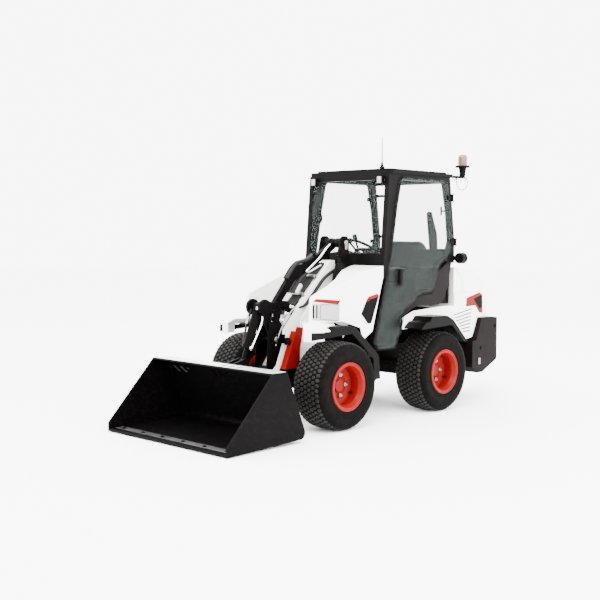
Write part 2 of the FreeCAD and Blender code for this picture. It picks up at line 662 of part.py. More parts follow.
def cab_floor():
    """Footwell, riser and seat deck, bent from one sheet, with the bulkhead in front."""
    inner = INSIDE_HALF
    t = DECK_T
    sheet = side_prism([(528, FLOOR_Z - t), (788, FLOOR_Z - t), (846, 788), (1010, DECK_Z),
                        (REAR_WALL - 26, DECK_Z),
                        (REAR_WALL - 26, DECK_Z + t), (1004, DECK_Z + t), (834, 798), (775, FLOOR_Z),
                        (538, FLOOR_Z),
                        (620, 1100), (645, 1180), (634, 1180), (609, 1100)], -inner, inner)
    return sheet


def glass_pane(low, high, half):
    """Flat pane between two side-view points."""
    return side_prism([low, high, (high[0] + GLASS_T, high[1]), (low[0] + GLASS_T, low[1])], -half, half)


def cab_glass():
    """Windscreen and rear window."""
    half = INSIDE_HALF - FIT
    front = glass_pane((616, SCREEN_PANEL_Z + FIT), (664, HEADER_Z - FIT), half)
    rear = glass_pane((1530, REAR_SILL_Z + FIT), (1462, HEADER_Z - FIT), half)
    return Part.makeCompound([front, rear])


def door():
    """Frameless glass door, its outline cut to clear the rear wheel."""
    return at_x(grown(DOOR, -3), CAB_HALF, CAB_HALF + DOOR_T)


def hinge_point(z):
    """Point of the door's hinge line at a height; the line leans with the rear post."""
    return V(CAB_HALF + DOOR_T + 8, FRONT_AXLE_Y + HINGE_TOP_Y + (HINGE_Z[0] - z) * HINGE_SLOPE, z)


def hinge_lean():
    """Unit vector up the door's hinge line."""
    return (hinge_point(HINGE_Z[0]) - hinge_point(HINGE_Z[1])).normalize()


def door_fittings():
    """Hinge leaves with their barrels at the rear edge and the pull handle at the front edge."""
    x0 = CAB_HALF + DOOR_T
    lean = hinge_lean()
    leaves = []
    for z in HINGE_Z:
        p = hinge_point(z)
        y = p.y - FRONT_AXLE_Y
        leaf = fuse([block(x0, x0 + 6, y - 60, y - 2, z - 17, z + 17),
                     rod_between(p - lean * 20, p + lean * 20, 8)])
        leaves.append(leaf.cut(rod_between(p - lean * 30, p + lean * 30, 4 + RUN)))
    handle = side_prism([(770, 1047, 10), (798, 1047, 10), (798, 1183, 10), (770, 1183, 10)], x0, x0 + 26)
    return Part.makeCompound(leaves + [handle])


def hinge_knuckles():
    """Fixed knuckles above and below each door hinge barrel, with the pin and a strap to the rear post."""
    lean = hinge_lean()
    parts = []
    for z in HINGE_Z:
        p = hinge_point(z)
        y = p.y - FRONT_AXLE_Y
        parts.append(rod_between(p - lean * 32, p + lean * 32, 4))
        for side in (-1, 1):
            a = p + lean * (side * 20.4)
            b = p + lean * (side * 32)
            parts.append(rod_between(a, b, 8))
            z0 = min(a.z, b.z) + 1
            parts.append(block(CAB_HALF + 6, CAB_HALF + DOOR_T + 14, y, y + 24, z0, z0 + 9))
        parts.append(block(CAB_HALF - SEAL, CAB_HALF + DOOR_T + 4, y + 14, y + 24, z - 32, z + 32))
    return fuse(parts)


def skirt():
    """Plain panel under and behind the door, in front of the rear body."""
    panel = side_prism([(835, 790), (1000, 866, 30), (1345, 868, 40), (1412, 925, 40), (1448, 1000, 60),
                        (1508, 1215), (1440, 1215), (1330, 1150), (1100, 990)], INSIDE_HALF, CAB_HALF + 4)
    return panel.cut(at_x(grown(DOOR, 6), CAB_HALF - 60, CAB_HALF + 60)).removeSplitter()


def seat_pod():
    """Box under and beside the seat, with raised side consoles."""
    centre = side_prism([(1000, DECK_Z + DECK_T), (1020, SEAT_Z, 20), (REAR_WALL - 30, SEAT_Z),
                         (REAR_WALL - 30, DECK_Z + DECK_T)], -250, 250)
    console = side_prism([(1060, DECK_Z + DECK_T), (1075, 1100, 60), (1240, 1335, 40), (REAR_WALL - 30, 1335),
                          (REAR_WALL - 30, DECK_Z + DECK_T)],
                         250, INSIDE_HALF - 6)
    tower = side_prism([(1390, 1330), (1345, 1640, 18), (1385, 1655, 18), (1470, 1460, 30), (1480, 1330)],
                       285, 310)
    lever = rod_between(vec(-300, (1180, 1240)), vec(-300, (1110, 1400)), 9)
    knob = rod_between(vec(-300, (1112, 1396)), vec(-300, (1092, 1450)), 20)
    return fuse([centre, console, mirror(console), tower, lever, knob])


def seat_cushion():
    """Seat cushion, resting on the pod."""
    low = SEAT_Z + FIT
    return side_prism([(985, low, 20), (975, low + 95, 35), (1010, low + 115, 30), (1372, low + 90, 20),
                       (1372, low)], -235, 235)


def seat_back():
    """Low backrest with a rounded top."""
    low = SEAT_Z + FIT
    body = side_prism([(1372 + FIT, low), (1372 + FIT, low + 100), (1412, 1408, 20), (1472, 1408, 20),
                       (1490, low)], -225, 225)
    trim = front_prism([(-225, low - 1), (-225, 1415, 125), (225, 1415, 125), (225, low - 1)], 1300, 1500)
    return body.common(trim)


def steering():
    """Steering column, wheel hub and rim."""
    hub = V(0, FRONT_AXLE_Y + 800, 1325)
    tilt = V(0, 0.5, 0.866)
    ring = Part.makeTorus(172, 12, hub, tilt)
    boss = Part.makeCylinder(34, 40, hub - tilt * 46, tilt)
    column = rod_between(V(0, FRONT_AXLE_Y + 690, 1235), hub - tilt * 30, 30)
    bracket = block(-60, 60, SCREEN_BACK, SCREEN_BACK + 70, SCREEN_PANEL_Z - 112, SCREEN_PANEL_Z - 32)
    spokes = []
    for k in range(3):
        a = math.radians(90 + 120 * k)
        out = V(math.cos(a), -0.866 * math.sin(a), 0.5 * math.sin(a)) * 172
        spokes.append(rod_between(hub - tilt * 20, hub + out, 9))
    return fuse([ring, boss, column, bracket] + spokes)


def lamps():
    """Work lamps under the roof's front edge, head lamps in the cowl and rear lamps on the posts."""
    x = CAB_HALF - 74
    front_y = ROOF_FRONT
    work = block(x - 26, x + 26, front_y - 36, front_y - 8, ROOF_TOP - 124, ROOF_TOP - 62)
    stalk = block(x - 8, x + 8, front_y - 22, front_y, ROOF_TOP - 86, ROOF_TOP - 66)
    x = CAB_HALF + 44
    y = POST_REAR_Y
    can = rod_between(V(x, FRONT_AXLE_Y + y + 3, 1256), V(x, FRONT_AXLE_Y + y + 64, 1256), 46)
    rear = fuse([can, block(CAB_HALF - 34, x, y, y + 8, 1236, 1276)])
    front = fuse([work, stalk])
    return Part.makeCompound([front, mirror(front), rear, mirror(rear)])


def beacon_base():
    """Bracket on the roof's rear edge, with the tapered stem and flange of the beacon."""
    x = BEACON_AT[0]
    y = FRONT_AXLE_Y + BEACON_AT[1]
    z = ROOF_TOP - 28
    plate = block(x - 65, x - 23, ROOF_REAR, ROOF_REAR + 8, ROOF_TOP - 40, ROOF_TOP - 15)
    arm = rod_between(V(x - 43, FRONT_AXLE_Y + ROOF_REAR + 7, z), V(x, y, z), 11)
    stem = Part.makeCone(20, 34, BEACON_STEM, V(x, y, z - 7), V(0, 0, 1))
    flange = Part.makeCylinder(BEACON_R + 20, 16, V(x, y, z - 7 + BEACON_STEM), V(0, 0, 1))
    return fuse([plate, arm, stem, flange])


def hose(points, diameter):
    """Round tube along straight runs joined by tangent arcs as large as the runs allow."""
    edges = []
    last = points[0]
    for before, here, after in zip(points, points[1:], points[2:]):
        inward = here - before
        outward = after - here
        cut = 0.45 * min(inward.Length, outward.Length)
        inward.normalize()
        outward.normalize()
        half = inward.getAngle(outward) / 2.0
        start = here - inward * cut
        end = here + outward * cut
        bend = cut / math.tan(half)
        middle = (outward - inward).normalize()
        top = here + middle * (bend / math.cos(half) - bend)
        edges += [Part.makeLine(last, start), Part.Arc(start, top, end).toShape()]
        last = end
        print("lead bend radius %.1f" % bend)
    edges.append(Part.makeLine(last, points[-1]))
    path = Part.Wire(edges)
    ring = Part.Wire(Part.makeCircle(diameter / 2.0, points[0], points[1] - points[0]))
    tube = path.makePipeShell([ring], True, True)
    section = math.pi * diameter ** 2 / 4.0
    print("lead length %.1f, volume over section %.1f" % (path.Length, tube.Volume / section))
    return tube


def beacon_lead():
    """Slack loop of the beacon's lead, from the stem down and up to the bracket's arm."""
    x, y = BEACON_AT
    z = ROOF_TOP - 30
    stem = 21.4
    route = [(0, stem, 0), (0, 50, 0), (0, 72, -22), (0, 78, -54), (-2, 62, -84), (-5, 32, -104),
             (-8, -4, -108),
             (-12, -38, -96), (-16, -60, -68), (-17.4, -66, -36), (-17.4, -66, -9)]
    return hose([V(x + dx, FRONT_AXLE_Y + y + dy, z + dz) for dx, dy, dz in route], LEAD_D)


def beacon_lens():
    """Amber lens on the flange, its top edge rounded."""
    z = ROOF_TOP - 35 + BEACON_STEM + 16
    lens = Part.makeCylinder(BEACON_R, BEACON_H, V(BEACON_AT[0], FRONT_AXLE_Y + BEACON_AT[1], z), V(0, 0, 1))
    top = z + BEACON_H
    rim = [e for e in lens.Edges if abs(e.BoundBox.ZMin - top) < 0.01 and abs(e.BoundBox.ZMax - top) < 0.01]
    return lens.makeFillet(16, rim)


def antenna():
    """Mast on its round foot."""
    x = ROOF_HALF - 115
    y = FRONT_AXLE_Y + ROOF_FRONT + 35
    foot = Part.makeCylinder(14, 22, V(x, y, ROOF_TOP), V(0, 0, 1))
    mast = Part.makeCone(5, 2.5, 236, V(x, y, ROOF_TOP + 12), V(0, 0, 1))
    return fuse([foot, mast])


def cab():
    """Save every piece of the cab."""
    save("cab_frame", cab_frame())
    save("cab_roof", cab_roof())
    save("cab_floor", cab_floor())
    save("cab_glass", cab_glass())
    save("cab_skirts", both(skirt()))
    save("door_glass_left", door())
    save("door_glass_right", mirror(door()))
    save("door_fittings_left", door_fittings())
    save("door_fittings_right", mirror(door_fittings()))
    save("seat_pod", seat_pod())
    save("seat_cushion", seat_cushion())
    save("seat_back", seat_back())
    save("steering_wheel", steering())
    save("lamps", lamps())
    save("beacon_base", beacon_base())
    save("beacon_lead", beacon_lead())
    save("beacon_lens", beacon_lens())
    save("antenna", antenna())


# ---- front cowl, fenders and boom support ------------------------------------------------------
def cowl_half():
    """Left half of the front cowl: a shell that opens like a V towards the nose, and its mudguard shelf."""
    w = COWL_WALL
    out = CAB_HALF - SEAL
    side = [(-150, SHELF_Z), (-140, 985, 40), (60, 1062, 60), (330, 1172, 80), (598, 1206), (598, 1120),
            (560, 1000),
            (470, 700), (360, 640), (330, SHELF_Z - 60), (120, SHELF_Z)]
    plan = [(COWL_IN, 610), (COWL_IN, 560), (202, 388, 60), (COWL_THROAT, 180, 80),
            (COWL_THROAT + 22, 60, 60),
            (NOSE_IN, -160, 8), (COWL_NOSE_HALF, -160, 12), (out, COWL_FULL_Y, 80), (out, 610)]
    body = side_prism(side, COWL_IN, CAB_HALF).common(plan_prism(plan, 500, 1300))
    side_in = [(-150 + w, SHELF_Z - 200), (-140 + w, 985 - w, 36), (60, 1062 - w, 60), (330, 1172 - w, 80),
               (640, 1210 - w), (640, 500), (-150 + w, 500)]
    plan_in = [(COWL_IN + w, 640), (COWL_IN + w, 562), (202 + w, 392, 60), (COWL_THROAT + w, 182, 80),
               (COWL_THROAT + 22 + w, 60, 60), (NOSE_IN + w - 4, -90), (350, -90), (out - w, COWL_FULL_Y,
                   80), (out - w, 640)]
    inner = side_prism(side_in, COWL_IN, CAB_HALF).common(plan_prism(plan_in, 400, 1300))
    shell = body.cut(inner)
    z = SHELF_Z
    crown = [(300, z + 5), (372, z, 20), (415, z - 35, 20), (470, z - 39, 16), (SHELF_HALF, z - 51)]
    under = [(SHELF_HALF, z - 51 - w), (468, z - 39 - w, 16), (413, z - 35 - w, 20), (368, z - w, 20),
             (300, z + 5 - w)]
    plan = [(300, 60), (NOSE_IN, -130), (268, -168), (SHELF_TIP, SHELF_FRONT), (SHELF_HALF, SHELF_FRONT, 30),
            (SHELF_HALF, FENDER_RISE), (FENDER_IN, FENDER_RISE), (FENDER_IN, 60)]
    shelf = front_prism(crown + under, SHELF_FRONT, 60).common(plan_prism(plan, 600, 900))
    face = front_prism([(SHELF_TIP, z - 30), (SHELF_TIP, SHELF_LOW), (SHELF_HALF, SHELF_LOW),
                        (SHELF_HALF, z - 52),
                        (470, z - 40, 16), (415, z - 36)], SHELF_FRONT, -150)
    ring = plan_prism([(SHELF_TIP, SHELF_FRONT), (SHELF_HALF, SHELF_FRONT, 30), (SHELF_HALF, -150),
                       (SHELF_HALF - w, -150),
                       (SHELF_HALF - w, SHELF_FRONT + w, 22), (SHELF_TIP, SHELF_FRONT + w)], 600, 900)
    lip = face.common(ring)
    arch = side_prism([(-24, 470), (-24, 800), (60, 900), (190, 1010), (230, 1010), (130, 470)], COWL_IN - 6,
                      COWL_IN + 2)
    brace = block(RAIL_OUT, COWL_THROAT + 36, 66, 128, SHELF_Z - 55, SHELF_Z)
    return fuse([shell, shelf, lip, arch, brace])


def cowl():
    """Both halves of the cowl."""
    left = cowl_half()
    return Part.makeCompound([left, mirror(left)])


def front_fender():
    """Front left wheel cover: a dark strip, raised over the axle and turned down behind the tyre."""
    t = FENDER_T
    r = FENDER_RISE
    top = FENDER_TOP - 20
    crown = [(r, top - 41), (r + 53, top, 20), (77, top + 3, 30), (177, top - 13, 30), (464, top - 250, 30),
             (486, 333)]
    under = [(486 - t, 333), (464 - t, top - 253, 30), (174, top - 13 - t, 30), (76, top + 3 - t, 30),
             (r + 56, top - t, 20), (r, top - 41 - t)]
    sheet = side_prism(crown + under, FENDER_IN, FENDER_OUT_FRONT)
    edge = [(414, 333), (398, 505, 40), (150, 706, 40), (-150, 690), (SHELF_FRONT, 684),
            (SHELF_FRONT, top - 31, 8)]
    flange = side_prism(crown + edge, SHELF_HALF, FENDER_OUT_FRONT)
    seat = block(FENDER_IN, FENDER_IN + t, -60, 56, top - 41, top - 5)
    return fuse([sheet, flange, seat])


def rear_fender():
    """Rear left wheel cover, cut back in front so that it swings past the cab's sill."""
    t = FENDER_T
    a = WHEELBASE
    top = FENDER_TOP
    crown = [(a - 326, top - 87), (a - 268, top - 43, 20), (a - 220, top - 37, 20), (a - 184, top, 20),
             (a + 23, top, 20), (a + 108, top - 39, 30), (a + 315, top - 231)]
    under = [(a + 315 - 2 * t, top - 231), (a + 100, top - 47 - t, 30), (a + 21, top - t, 20),
             (a - 180, top - t, 20),
             (a - 218, top - 37 - t, 20), (a - 266, top - 43 - t, 20), (a - 326, top - 87 - t)]
    edge = [(a + 260, top - 231), (a + 85, top - 79, 30), (a - 200, top - 91, 30), (a - 326, top - 95)]
    sheet = side_prism(crown + under, SHOULDER_HALF_X, FENDER_OUT)
    flange = side_prism(crown + edge, FENDER_OUT - FENDER_SKIRT, FENDER_OUT)
    return fuse([sheet, flange])


def boom_support():
    """Channel stowed upright beside the tower plates, with its closed side outwards, and its knob."""
    face = [(-108, 752), (-41, 744), (-100, 440), (-233, 440)]
    shell = side_prism(face, SUPPORT_IN, SUPPORT_OUT)
    room = side_prism([(-96, 800), (-49, 800), (-110, 400), (-220, 400)], SUPPORT_IN - 10, SUPPORT_OUT - 8)
    pads = [block(RAIL_OUT, SUPPORT_IN + 30, y - 14, y, z, z + 30) for y, z in ((-56, 690), (-92, 470))]
    knob = rod_y(132, 645, 22, -182, -158)
    pin = rod_y(132, 645, 9, -160, -140)
    return fuse([shell.cut(room), knob, pin] + pads)


def front_body():
    """Save the cowl, the front fenders and the boom support."""
    save("cowl", cowl())
    save("front_fenders", both(front_fender()))
    save("boom_support", boom_support())


# ---- rear frame, engine, hood and counterweight ------------------------------------------------
def rear_frame():
    """Neck with the pivot boss, two long rails over the rear axle and a cross plate."""
    boss = rod_z(0, PIVOT, PIVOT_PIN_R + 26, PIVOT_LOW + EAR_T + MOVE, PIVOT_HIGH - EAR_T - MOVE)
    neck = block(-NECK_HALF, NECK_HALF, PIVOT + 20, PIVOT + 110, PIVOT_LOW + EAR_T + MOVE,
                 PIVOT_HIGH - EAR_T - MOVE)
    low = STEER_Z - EYE_HALF - MOVE
    high = STEER_Z + EYE_HALF + MOVE
    arms = []
    for z in (low - 12, high):
        arm = plan_prism([(0, PIVOT - 30), (STEER_X + 4, PIVOT - 24, 20), (STEER_X + 4, PIVOT + 24, 20),
                          (0, PIVOT + 50)], z, z + 12)
        arms.append(arm)
    rails = [block(s * NECK_HALF - 7, s * NECK_HALF + 7, PIVOT + 80, 1900, AXLE_Z + AXLE_R,
                   RAIL_TOP) for s in (-1, 1)]
    front = block(-NECK_HALF, NECK_HALF, PIVOT + 80, PIVOT + 110, PIVOT_LOW + EAR_T + MOVE, 520)
    deck = block(-280, 280, 1340, 1880, RAIL_TOP - 12, RAIL_TOP)
    body = fuse([boss, neck, front, deck] + arms + rails)
    return body.cut(rod_z(0, PIVOT, PIVOT_PIN_R + RUN, 0, 900))


def engine_block():
    """Plain block that stands for the engine."""
    return block(-210, 210, 1400, 1830, RAIL_TOP, UNDER_DECK_Z - PANEL_T)


def hood_profile():
    """Side outline of the hood above the seam."""
    return [(1500, SEAM_Z), (1500, 1175), (1600, 1176, 60), (1850, 1146, 90), (1985, 1070, 60),
            (2086, SEAM_Z)]


def hood():
    """Engine hood: a shell with a front face rounded about the pivot so that it passes the cab."""
    skin = side_prism(hood_profile(), -HOOD_HALF, HOOD_HALF)
    w = PANEL_T
    inner = side_prism([(1400, SEAM_Z - 50), (1400, 1175 - w), (1600, 1176 - w, 60), (1850 - 3, 1146 - w, 90),
                        (1985 - w, 1070 - w, 60),
                        (2086 - 1.4 * w, SEAM_Z),
                        (2086 - 1.4 * w, SEAM_Z - 50)], -HOOD_HALF + w, HOOD_HALF - w)
    shell = skin.cut(inner)
    ring = rod_z(0, PIVOT, HOOD_R + w, SEAM_Z, 1200).cut(rod_z(0, PIVOT, HOOD_R, SEAM_Z - 1, 1201))
    front = ring.common(side_prism(hood_profile(), -HOOD_HALF, HOOD_HALF))
    lugs = []
    for x in (-260, 240):
        lug = side_prism([(2056, SEAM_Z + 12), (2078, SEAM_Z), (2090, SEAM_Z), HOOD_HINGE + (10,),
                          (2118, SEAM_Z + 6, 10), (2072, SEAM_Z + 30)], x, x + 20)
        lugs += [lug, rod_x(HOOD_HINGE, HOOD_PIN_R + 6, x, x + 20)]
    body = fuse([shell.cut(rod_z(0, PIVOT, HOOD_R, 0, 2000)), front] + lugs)
    return body.cut(rod_x(HOOD_HINGE, HOOD_PIN_R + RUN, -300, 300))


def tail_y(z):
    """How far back the leaning tail stands at a height."""
    return 2059.0 + (z - WEIGHT_TOP) * 0.11


def rear_body():
    """Side walls, front shoulder under the cab deck and the tail below the hood, with the hood's hinge."""
    w = PANEL_T
    top = SEAM_Z - FIT
    outer = SHOULDER_HALF_X
    wall = side_prism([(760, 690), (760, 748), (1000, 830, 60), (1360, UNDER_DECK_Z, 40),
                       (1480, UNDER_DECK_Z, 30), (1500, top),
                       (tail_y(top), top), (tail_y(WEIGHT_TOP), WEIGHT_TOP), (1925, WEIGHT_TOP), (1850, 560,
                           30), (1700, 540, 30), (1600, 600), (1480, 620, 30),
                       (1360, 700, 60), (1200, 715, 60), (1000, 690)], outer - w, outer)
    under = rod_z(0, PIVOT, SHOULDER_R, 400, UNDER_DECK_Z + 1)
    above = rod_z(0, PIVOT, HOOD_R, UNDER_DECK_Z, 1300)
    wall = wall.cut(under).cut(above)
    ledge = side_prism([(1580, top - 8), (2080, top - 8), (2080, top), (1580, top)], HOOD_HALF - 2 * w, outer)
    deck = block(-outer, outer, 1360, 1664, UNDER_DECK_Z - w, UNDER_DECK_Z)
    bulkhead = rod_z(0, PIVOT, HOOD_R + w, UNDER_DECK_Z - w, top).cut(rod_z(0, PIVOT, HOOD_R, 0, 2000))
    bulkhead = bulkhead.common(block(-outer, outer, 1500, 1700, 800, 1000))
    tail = side_prism([(tail_y(top), top), (tail_y(WEIGHT_TOP), WEIGHT_TOP),
                       (tail_y(WEIGHT_TOP) - w, WEIGHT_TOP),
                       (tail_y(top) - w, top)], -outer, outer)
    lugs = []
    for x in (-286, -238, 214, 262):
        lugs.append(side_prism([(2072, top - 30), HOOD_HINGE + (0,), (2104, 930), (2066, 880)], x + 1,
                               x + 23).cut(
            rod_x(HOOD_HINGE, HOOD_PIN_R, x, x + 24)))
        lugs.append(rod_x(HOOD_HINGE, HOOD_PIN_R + 6, x + 1, x + 23))
    pins = [rod_x(HOOD_HINGE, HOOD_PIN_R, -286, -214), rod_x(HOOD_HINGE, HOOD_PIN_R, 214, 286)]
    return fuse([wall, mirror(wall), ledge, mirror(ledge), deck, bulkhead, tail] + lugs + pins)


def counterweight():
    """Cast tail weight with cut-away corners, a tow pin bore and a stepped nose each side."""
    plan = [(-WEIGHT_HALF, 1710), (WEIGHT_HALF, 1710), (WEIGHT_HALF, WEIGHT_REAR - 60, 60), (0, WEIGHT_REAR),
            (-WEIGHT_HALF, WEIGHT_REAR - 60, 60)]
    side = [(1790, 300, 20), (1850, 245, 30), (1945, 243, 30), (WEIGHT_REAR + 10, 390, 60),
            (WEIGHT_REAR + 10, 702), (2110, WEIGHT_TOP),
            (1925, WEIGHT_TOP), (1845, 530), (1790, 530)]
    body = plan_prism(plan, 200, 760).common(side_prism(side, -WEIGHT_HALF, WEIGHT_HALF))
    hollow = block(-360, 360, 1600, 1900, 200, 800)
    bore = rod_z(0, TOW_Y, TOW_R, 200, 800)
    low = rod_z(0, TOW_Y, 3 * TOW_R, 200, TOW_LOW)
    high = rod_z(0, TOW_Y, 3 * TOW_R, TOW_HIGH, 800)
    return body.cut(hollow).cut(bore).cut(low).cut(high)


def rear_grille():
    """Grille plate between the rear walls."""
    top = (tail_y(900), 900)
    low = (tail_y(WEIGHT_TOP + 30), WEIGHT_TOP + 30)
    return side_prism([low, top, (top[0] + 12, top[1]), (low[0] + 12, low[1])], -200, 200)


def rear():
    """Save every piece of the rear body."""
    save("rear_frame", rear_frame())
    save("engine_block", engine_block())
    save("hood", hood())
    save("rear_body", rear_body())
    save("rear_fenders", both(rear_fender()))
    save("counterweight", counterweight())
    save("rear_grille", rear_grille())


def main():
    """Save all the parts."""
    wheels()
    save("front_frame", front_frame())
    linkage()
    save("hitch", hitch())
    save("bucket", bucket())
    cab()
    front_body()
    rear()


main()
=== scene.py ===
"""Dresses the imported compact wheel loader: tyres, paint, glass, lamps, cushions, lines and trim."""
import logging
import math
from dataclasses import dataclass, field
from enum import Enum
from typing import Any, Iterable, Optional, Sequence

import bmesh
import bpy
from mathutils import Matrix, Vector
from mathutils.bvhtree import BVHTree


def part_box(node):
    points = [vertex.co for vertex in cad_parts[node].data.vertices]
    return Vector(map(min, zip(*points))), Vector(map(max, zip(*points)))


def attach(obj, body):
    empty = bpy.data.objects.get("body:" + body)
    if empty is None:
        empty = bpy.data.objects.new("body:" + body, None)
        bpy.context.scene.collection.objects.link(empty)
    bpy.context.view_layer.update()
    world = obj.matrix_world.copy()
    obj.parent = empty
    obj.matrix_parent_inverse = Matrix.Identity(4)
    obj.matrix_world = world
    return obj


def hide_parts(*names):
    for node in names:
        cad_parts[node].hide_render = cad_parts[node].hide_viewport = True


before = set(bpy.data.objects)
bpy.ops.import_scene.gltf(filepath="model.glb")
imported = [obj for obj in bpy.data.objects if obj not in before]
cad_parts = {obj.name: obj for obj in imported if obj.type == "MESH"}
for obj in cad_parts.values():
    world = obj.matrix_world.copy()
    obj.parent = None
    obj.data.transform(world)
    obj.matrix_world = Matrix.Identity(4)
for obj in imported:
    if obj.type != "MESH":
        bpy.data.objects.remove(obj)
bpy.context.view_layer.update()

log = logging.getLogger("loader")

FRONT_AXLE_Y = -0.510      # the front axle's place along the machine
AXLE_Z = 0.330
WHEELBASE = 1.200
TRACK_HALF = 0.461

Point = tuple[float, float]
Colour = tuple[float, float, float]


def at(x: float, rear: float, up: float) -> Vector:
    """Point in metres from millimetres left, rearward of the front axle, and up."""
    return Vector((x / 1000.0, FRONT_AXLE_Y + rear / 1000.0, up / 1000.0))


class Side(Enum):
    """The machine's two sides."""

    LEFT = 1
    RIGHT = -1


class Body(Enum):
    """Bodies that dressed pieces ride on."""

    FRONT = "front"
    REAR = "rear"
    HOOD = "hood"
    BOOM = "boom"
    LINK = "levelling_link"
    ROCKER = "rocker"
    TILT_BARREL = "tilt_barrel"
    BUCKET = "bucket"


# ---- shader recipes ----------------------------------------------------------------------------
class Signal:
    """A value socket that can stand in a sum or product."""

    def __init__(self, recipe: "Recipe", socket: Any) -> None:
        """Keep the recipe and the socket.

        Args:
            recipe: The material recipe that the socket belongs to.
            socket: The output socket that carries the value.
        """
        self.recipe = recipe
        self.socket = socket

    def _math(self, operation: str, *others: Any) -> "Signal":
        """Math node on this value and others.

        Args:
            operation: Blender's name of the operation.
            *others: Numbers or signals for the other sockets.

        Returns:
            The node's result.
        """
        sockets = {index: value for index, value in enumerate((self, *others))}
        return Signal(self.recipe, self.recipe.node("ShaderNodeMath", {"operation": operation},
                                                    sockets).outputs[0])

    def __add__(self, other: Any) -> "Signal":
        """Sum."""
        return self._math("ADD", other)

    __radd__ = __add__

    def __mul__(self, other: Any) -> "Signal":
        """Product."""
        return self._math("MULTIPLY", other)

    __rmul__ = __mul__

    def __sub__(self, other: Any) -> "Signal":
        """Difference."""
        return self._math("SUBTRACT", other)

    def __rsub__(self, other: Any) -> "Signal":
        """Difference with this value taken away."""
        return (self * -1.0) + other

    def ramp(self, low: float, high: float) -> "Signal":
        """Smooth step from 0 at low to 1 at high.

        Args:
            low: Value that gives 0.
            high: Value that gives 1.

        Returns:
            The stepped signal.
        """
        sockets = {0: self, 1: low, 2: high, 3: 0.0, 4: 1.0}
        node = self.recipe.node("ShaderNodeMapRange", {"interpolation_type": "SMOOTHSTEP"}, sockets)
        return Signal(self.recipe, node.outputs[0])


class Recipe:
    """One material's node tree and its Principled shader."""

    def __init__(self, name: str) -> None:
        """Start an empty material.

        Args:
            name: The material's name.
        """
        self.material = bpy.data.materials.new(name)
        self.material.use_nodes = True
        self.tree = self.material.node_tree
        self.tree.nodes.clear()
        self.shader = self.node("ShaderNodeBsdfPrincipled", {}, {})
        self.output = self.node("ShaderNodeOutputMaterial", {}, {"Surface": self.shader.outputs[0]})

    def node(self, kind: str, settings: dict[str, Any], sockets: dict[Any, Any]) -> Any:
        """Make a node, set it, then feed its sockets.

        Args:
            kind: The node's Blender type.
            settings: Attributes of the node, set first.
            sockets: Values, signals or output sockets by input name or index.

        Returns:
            The new node.
        """
        made = self.tree.nodes.new(kind)
        for key, value in settings.items():
            setattr(made, key, value)
        for key, value in sockets.items():
            self.feed(made.inputs[key], value)
        return made

    def feed(self, socket: Any, value: Any) -> None:
        """Give a socket a constant or a link.

        Args:
            socket: The input socket.
            value: A number, colour, signal or output socket.
        """
        if isinstance(value, Signal):
            value = value.socket
        if isinstance(value, bpy.types.NodeSocket):
            self.tree.links.new(value, socket)
        elif isinstance(value, tuple) and len(value) == 3 and socket.type == "RGBA":
            socket.default_value = (*value, 1.0)
        else:
            socket.default_value = value

    def place(self) -> Any:
        """Object coordinates, which follow the piece."""
        return self.node("ShaderNodeTexCoord", {}, {}).outputs["Object"]

    def axis(self, name: str) -> Signal:
        """One object coordinate as a signal."""
        return Signal(self, self.node("ShaderNodeSeparateXYZ", {}, {0: self.place()}).outputs[name])

    def noise(self, scale: float, detail: float = 4.0, stretch: Colour = (1.0, 1.0, 1.0)) -> Signal:
        """Fractal noise from 0 to 1.

        Args:
            scale: Cells to the metre.
            detail: Octaves.
            stretch: Scale along each axis.

        Returns:
            The noise value.
        """
        spot = self.node("ShaderNodeMapping", {}, {"Vector": self.place(), "Scale": stretch}).outputs[0]
        made = self.node("ShaderNodeTexNoise", {}, {"Vector": spot, "Scale": scale, "Detail": detail})
        return Signal(self, made.outputs["Fac"])

    def mix(self, first: Any, second: Any, share: Any) -> Any:
        """Blend two colours.

        Args:
            first: Colour at share 0.
            second: Colour at share 1.
            share: Number or signal.

        Returns:
            The mixed colour's output socket.
        """
        made = self.node("ShaderNodeMix", {"data_type": "RGBA"}, {0: share, 6: first, 7: second})
        return made.outputs[2]

    def relief(self, height: Signal, depth: float, strength: float, edge: float) -> None:
        """Bump over softly rounded edges.

        Args:
            height: The bump's height signal.
            depth: Height in metres of a full signal.
            strength: Strength of the bump.
            edge: Radius in metres that edges are rounded to.
        """
        sockets = {"Height": height, "Distance": depth, "Strength": strength}
        if edge > 0.0:
            rounded = self.node("ShaderNodeBevel", {"samples": 4}, {"Radius": edge})
            sockets["Normal"] = rounded.outputs[0]
        self.feed(self.shader.inputs["Normal"], self.node("ShaderNodeBump", {}, sockets).outputs[0])

    def surface(self, **values: Any) -> None:
        """Set sockets of the Principled shader by name, spaces written as underscores."""
        for key, value in values.items():
            self.feed(self.shader.inputs[key.replace("_", " ")], value)


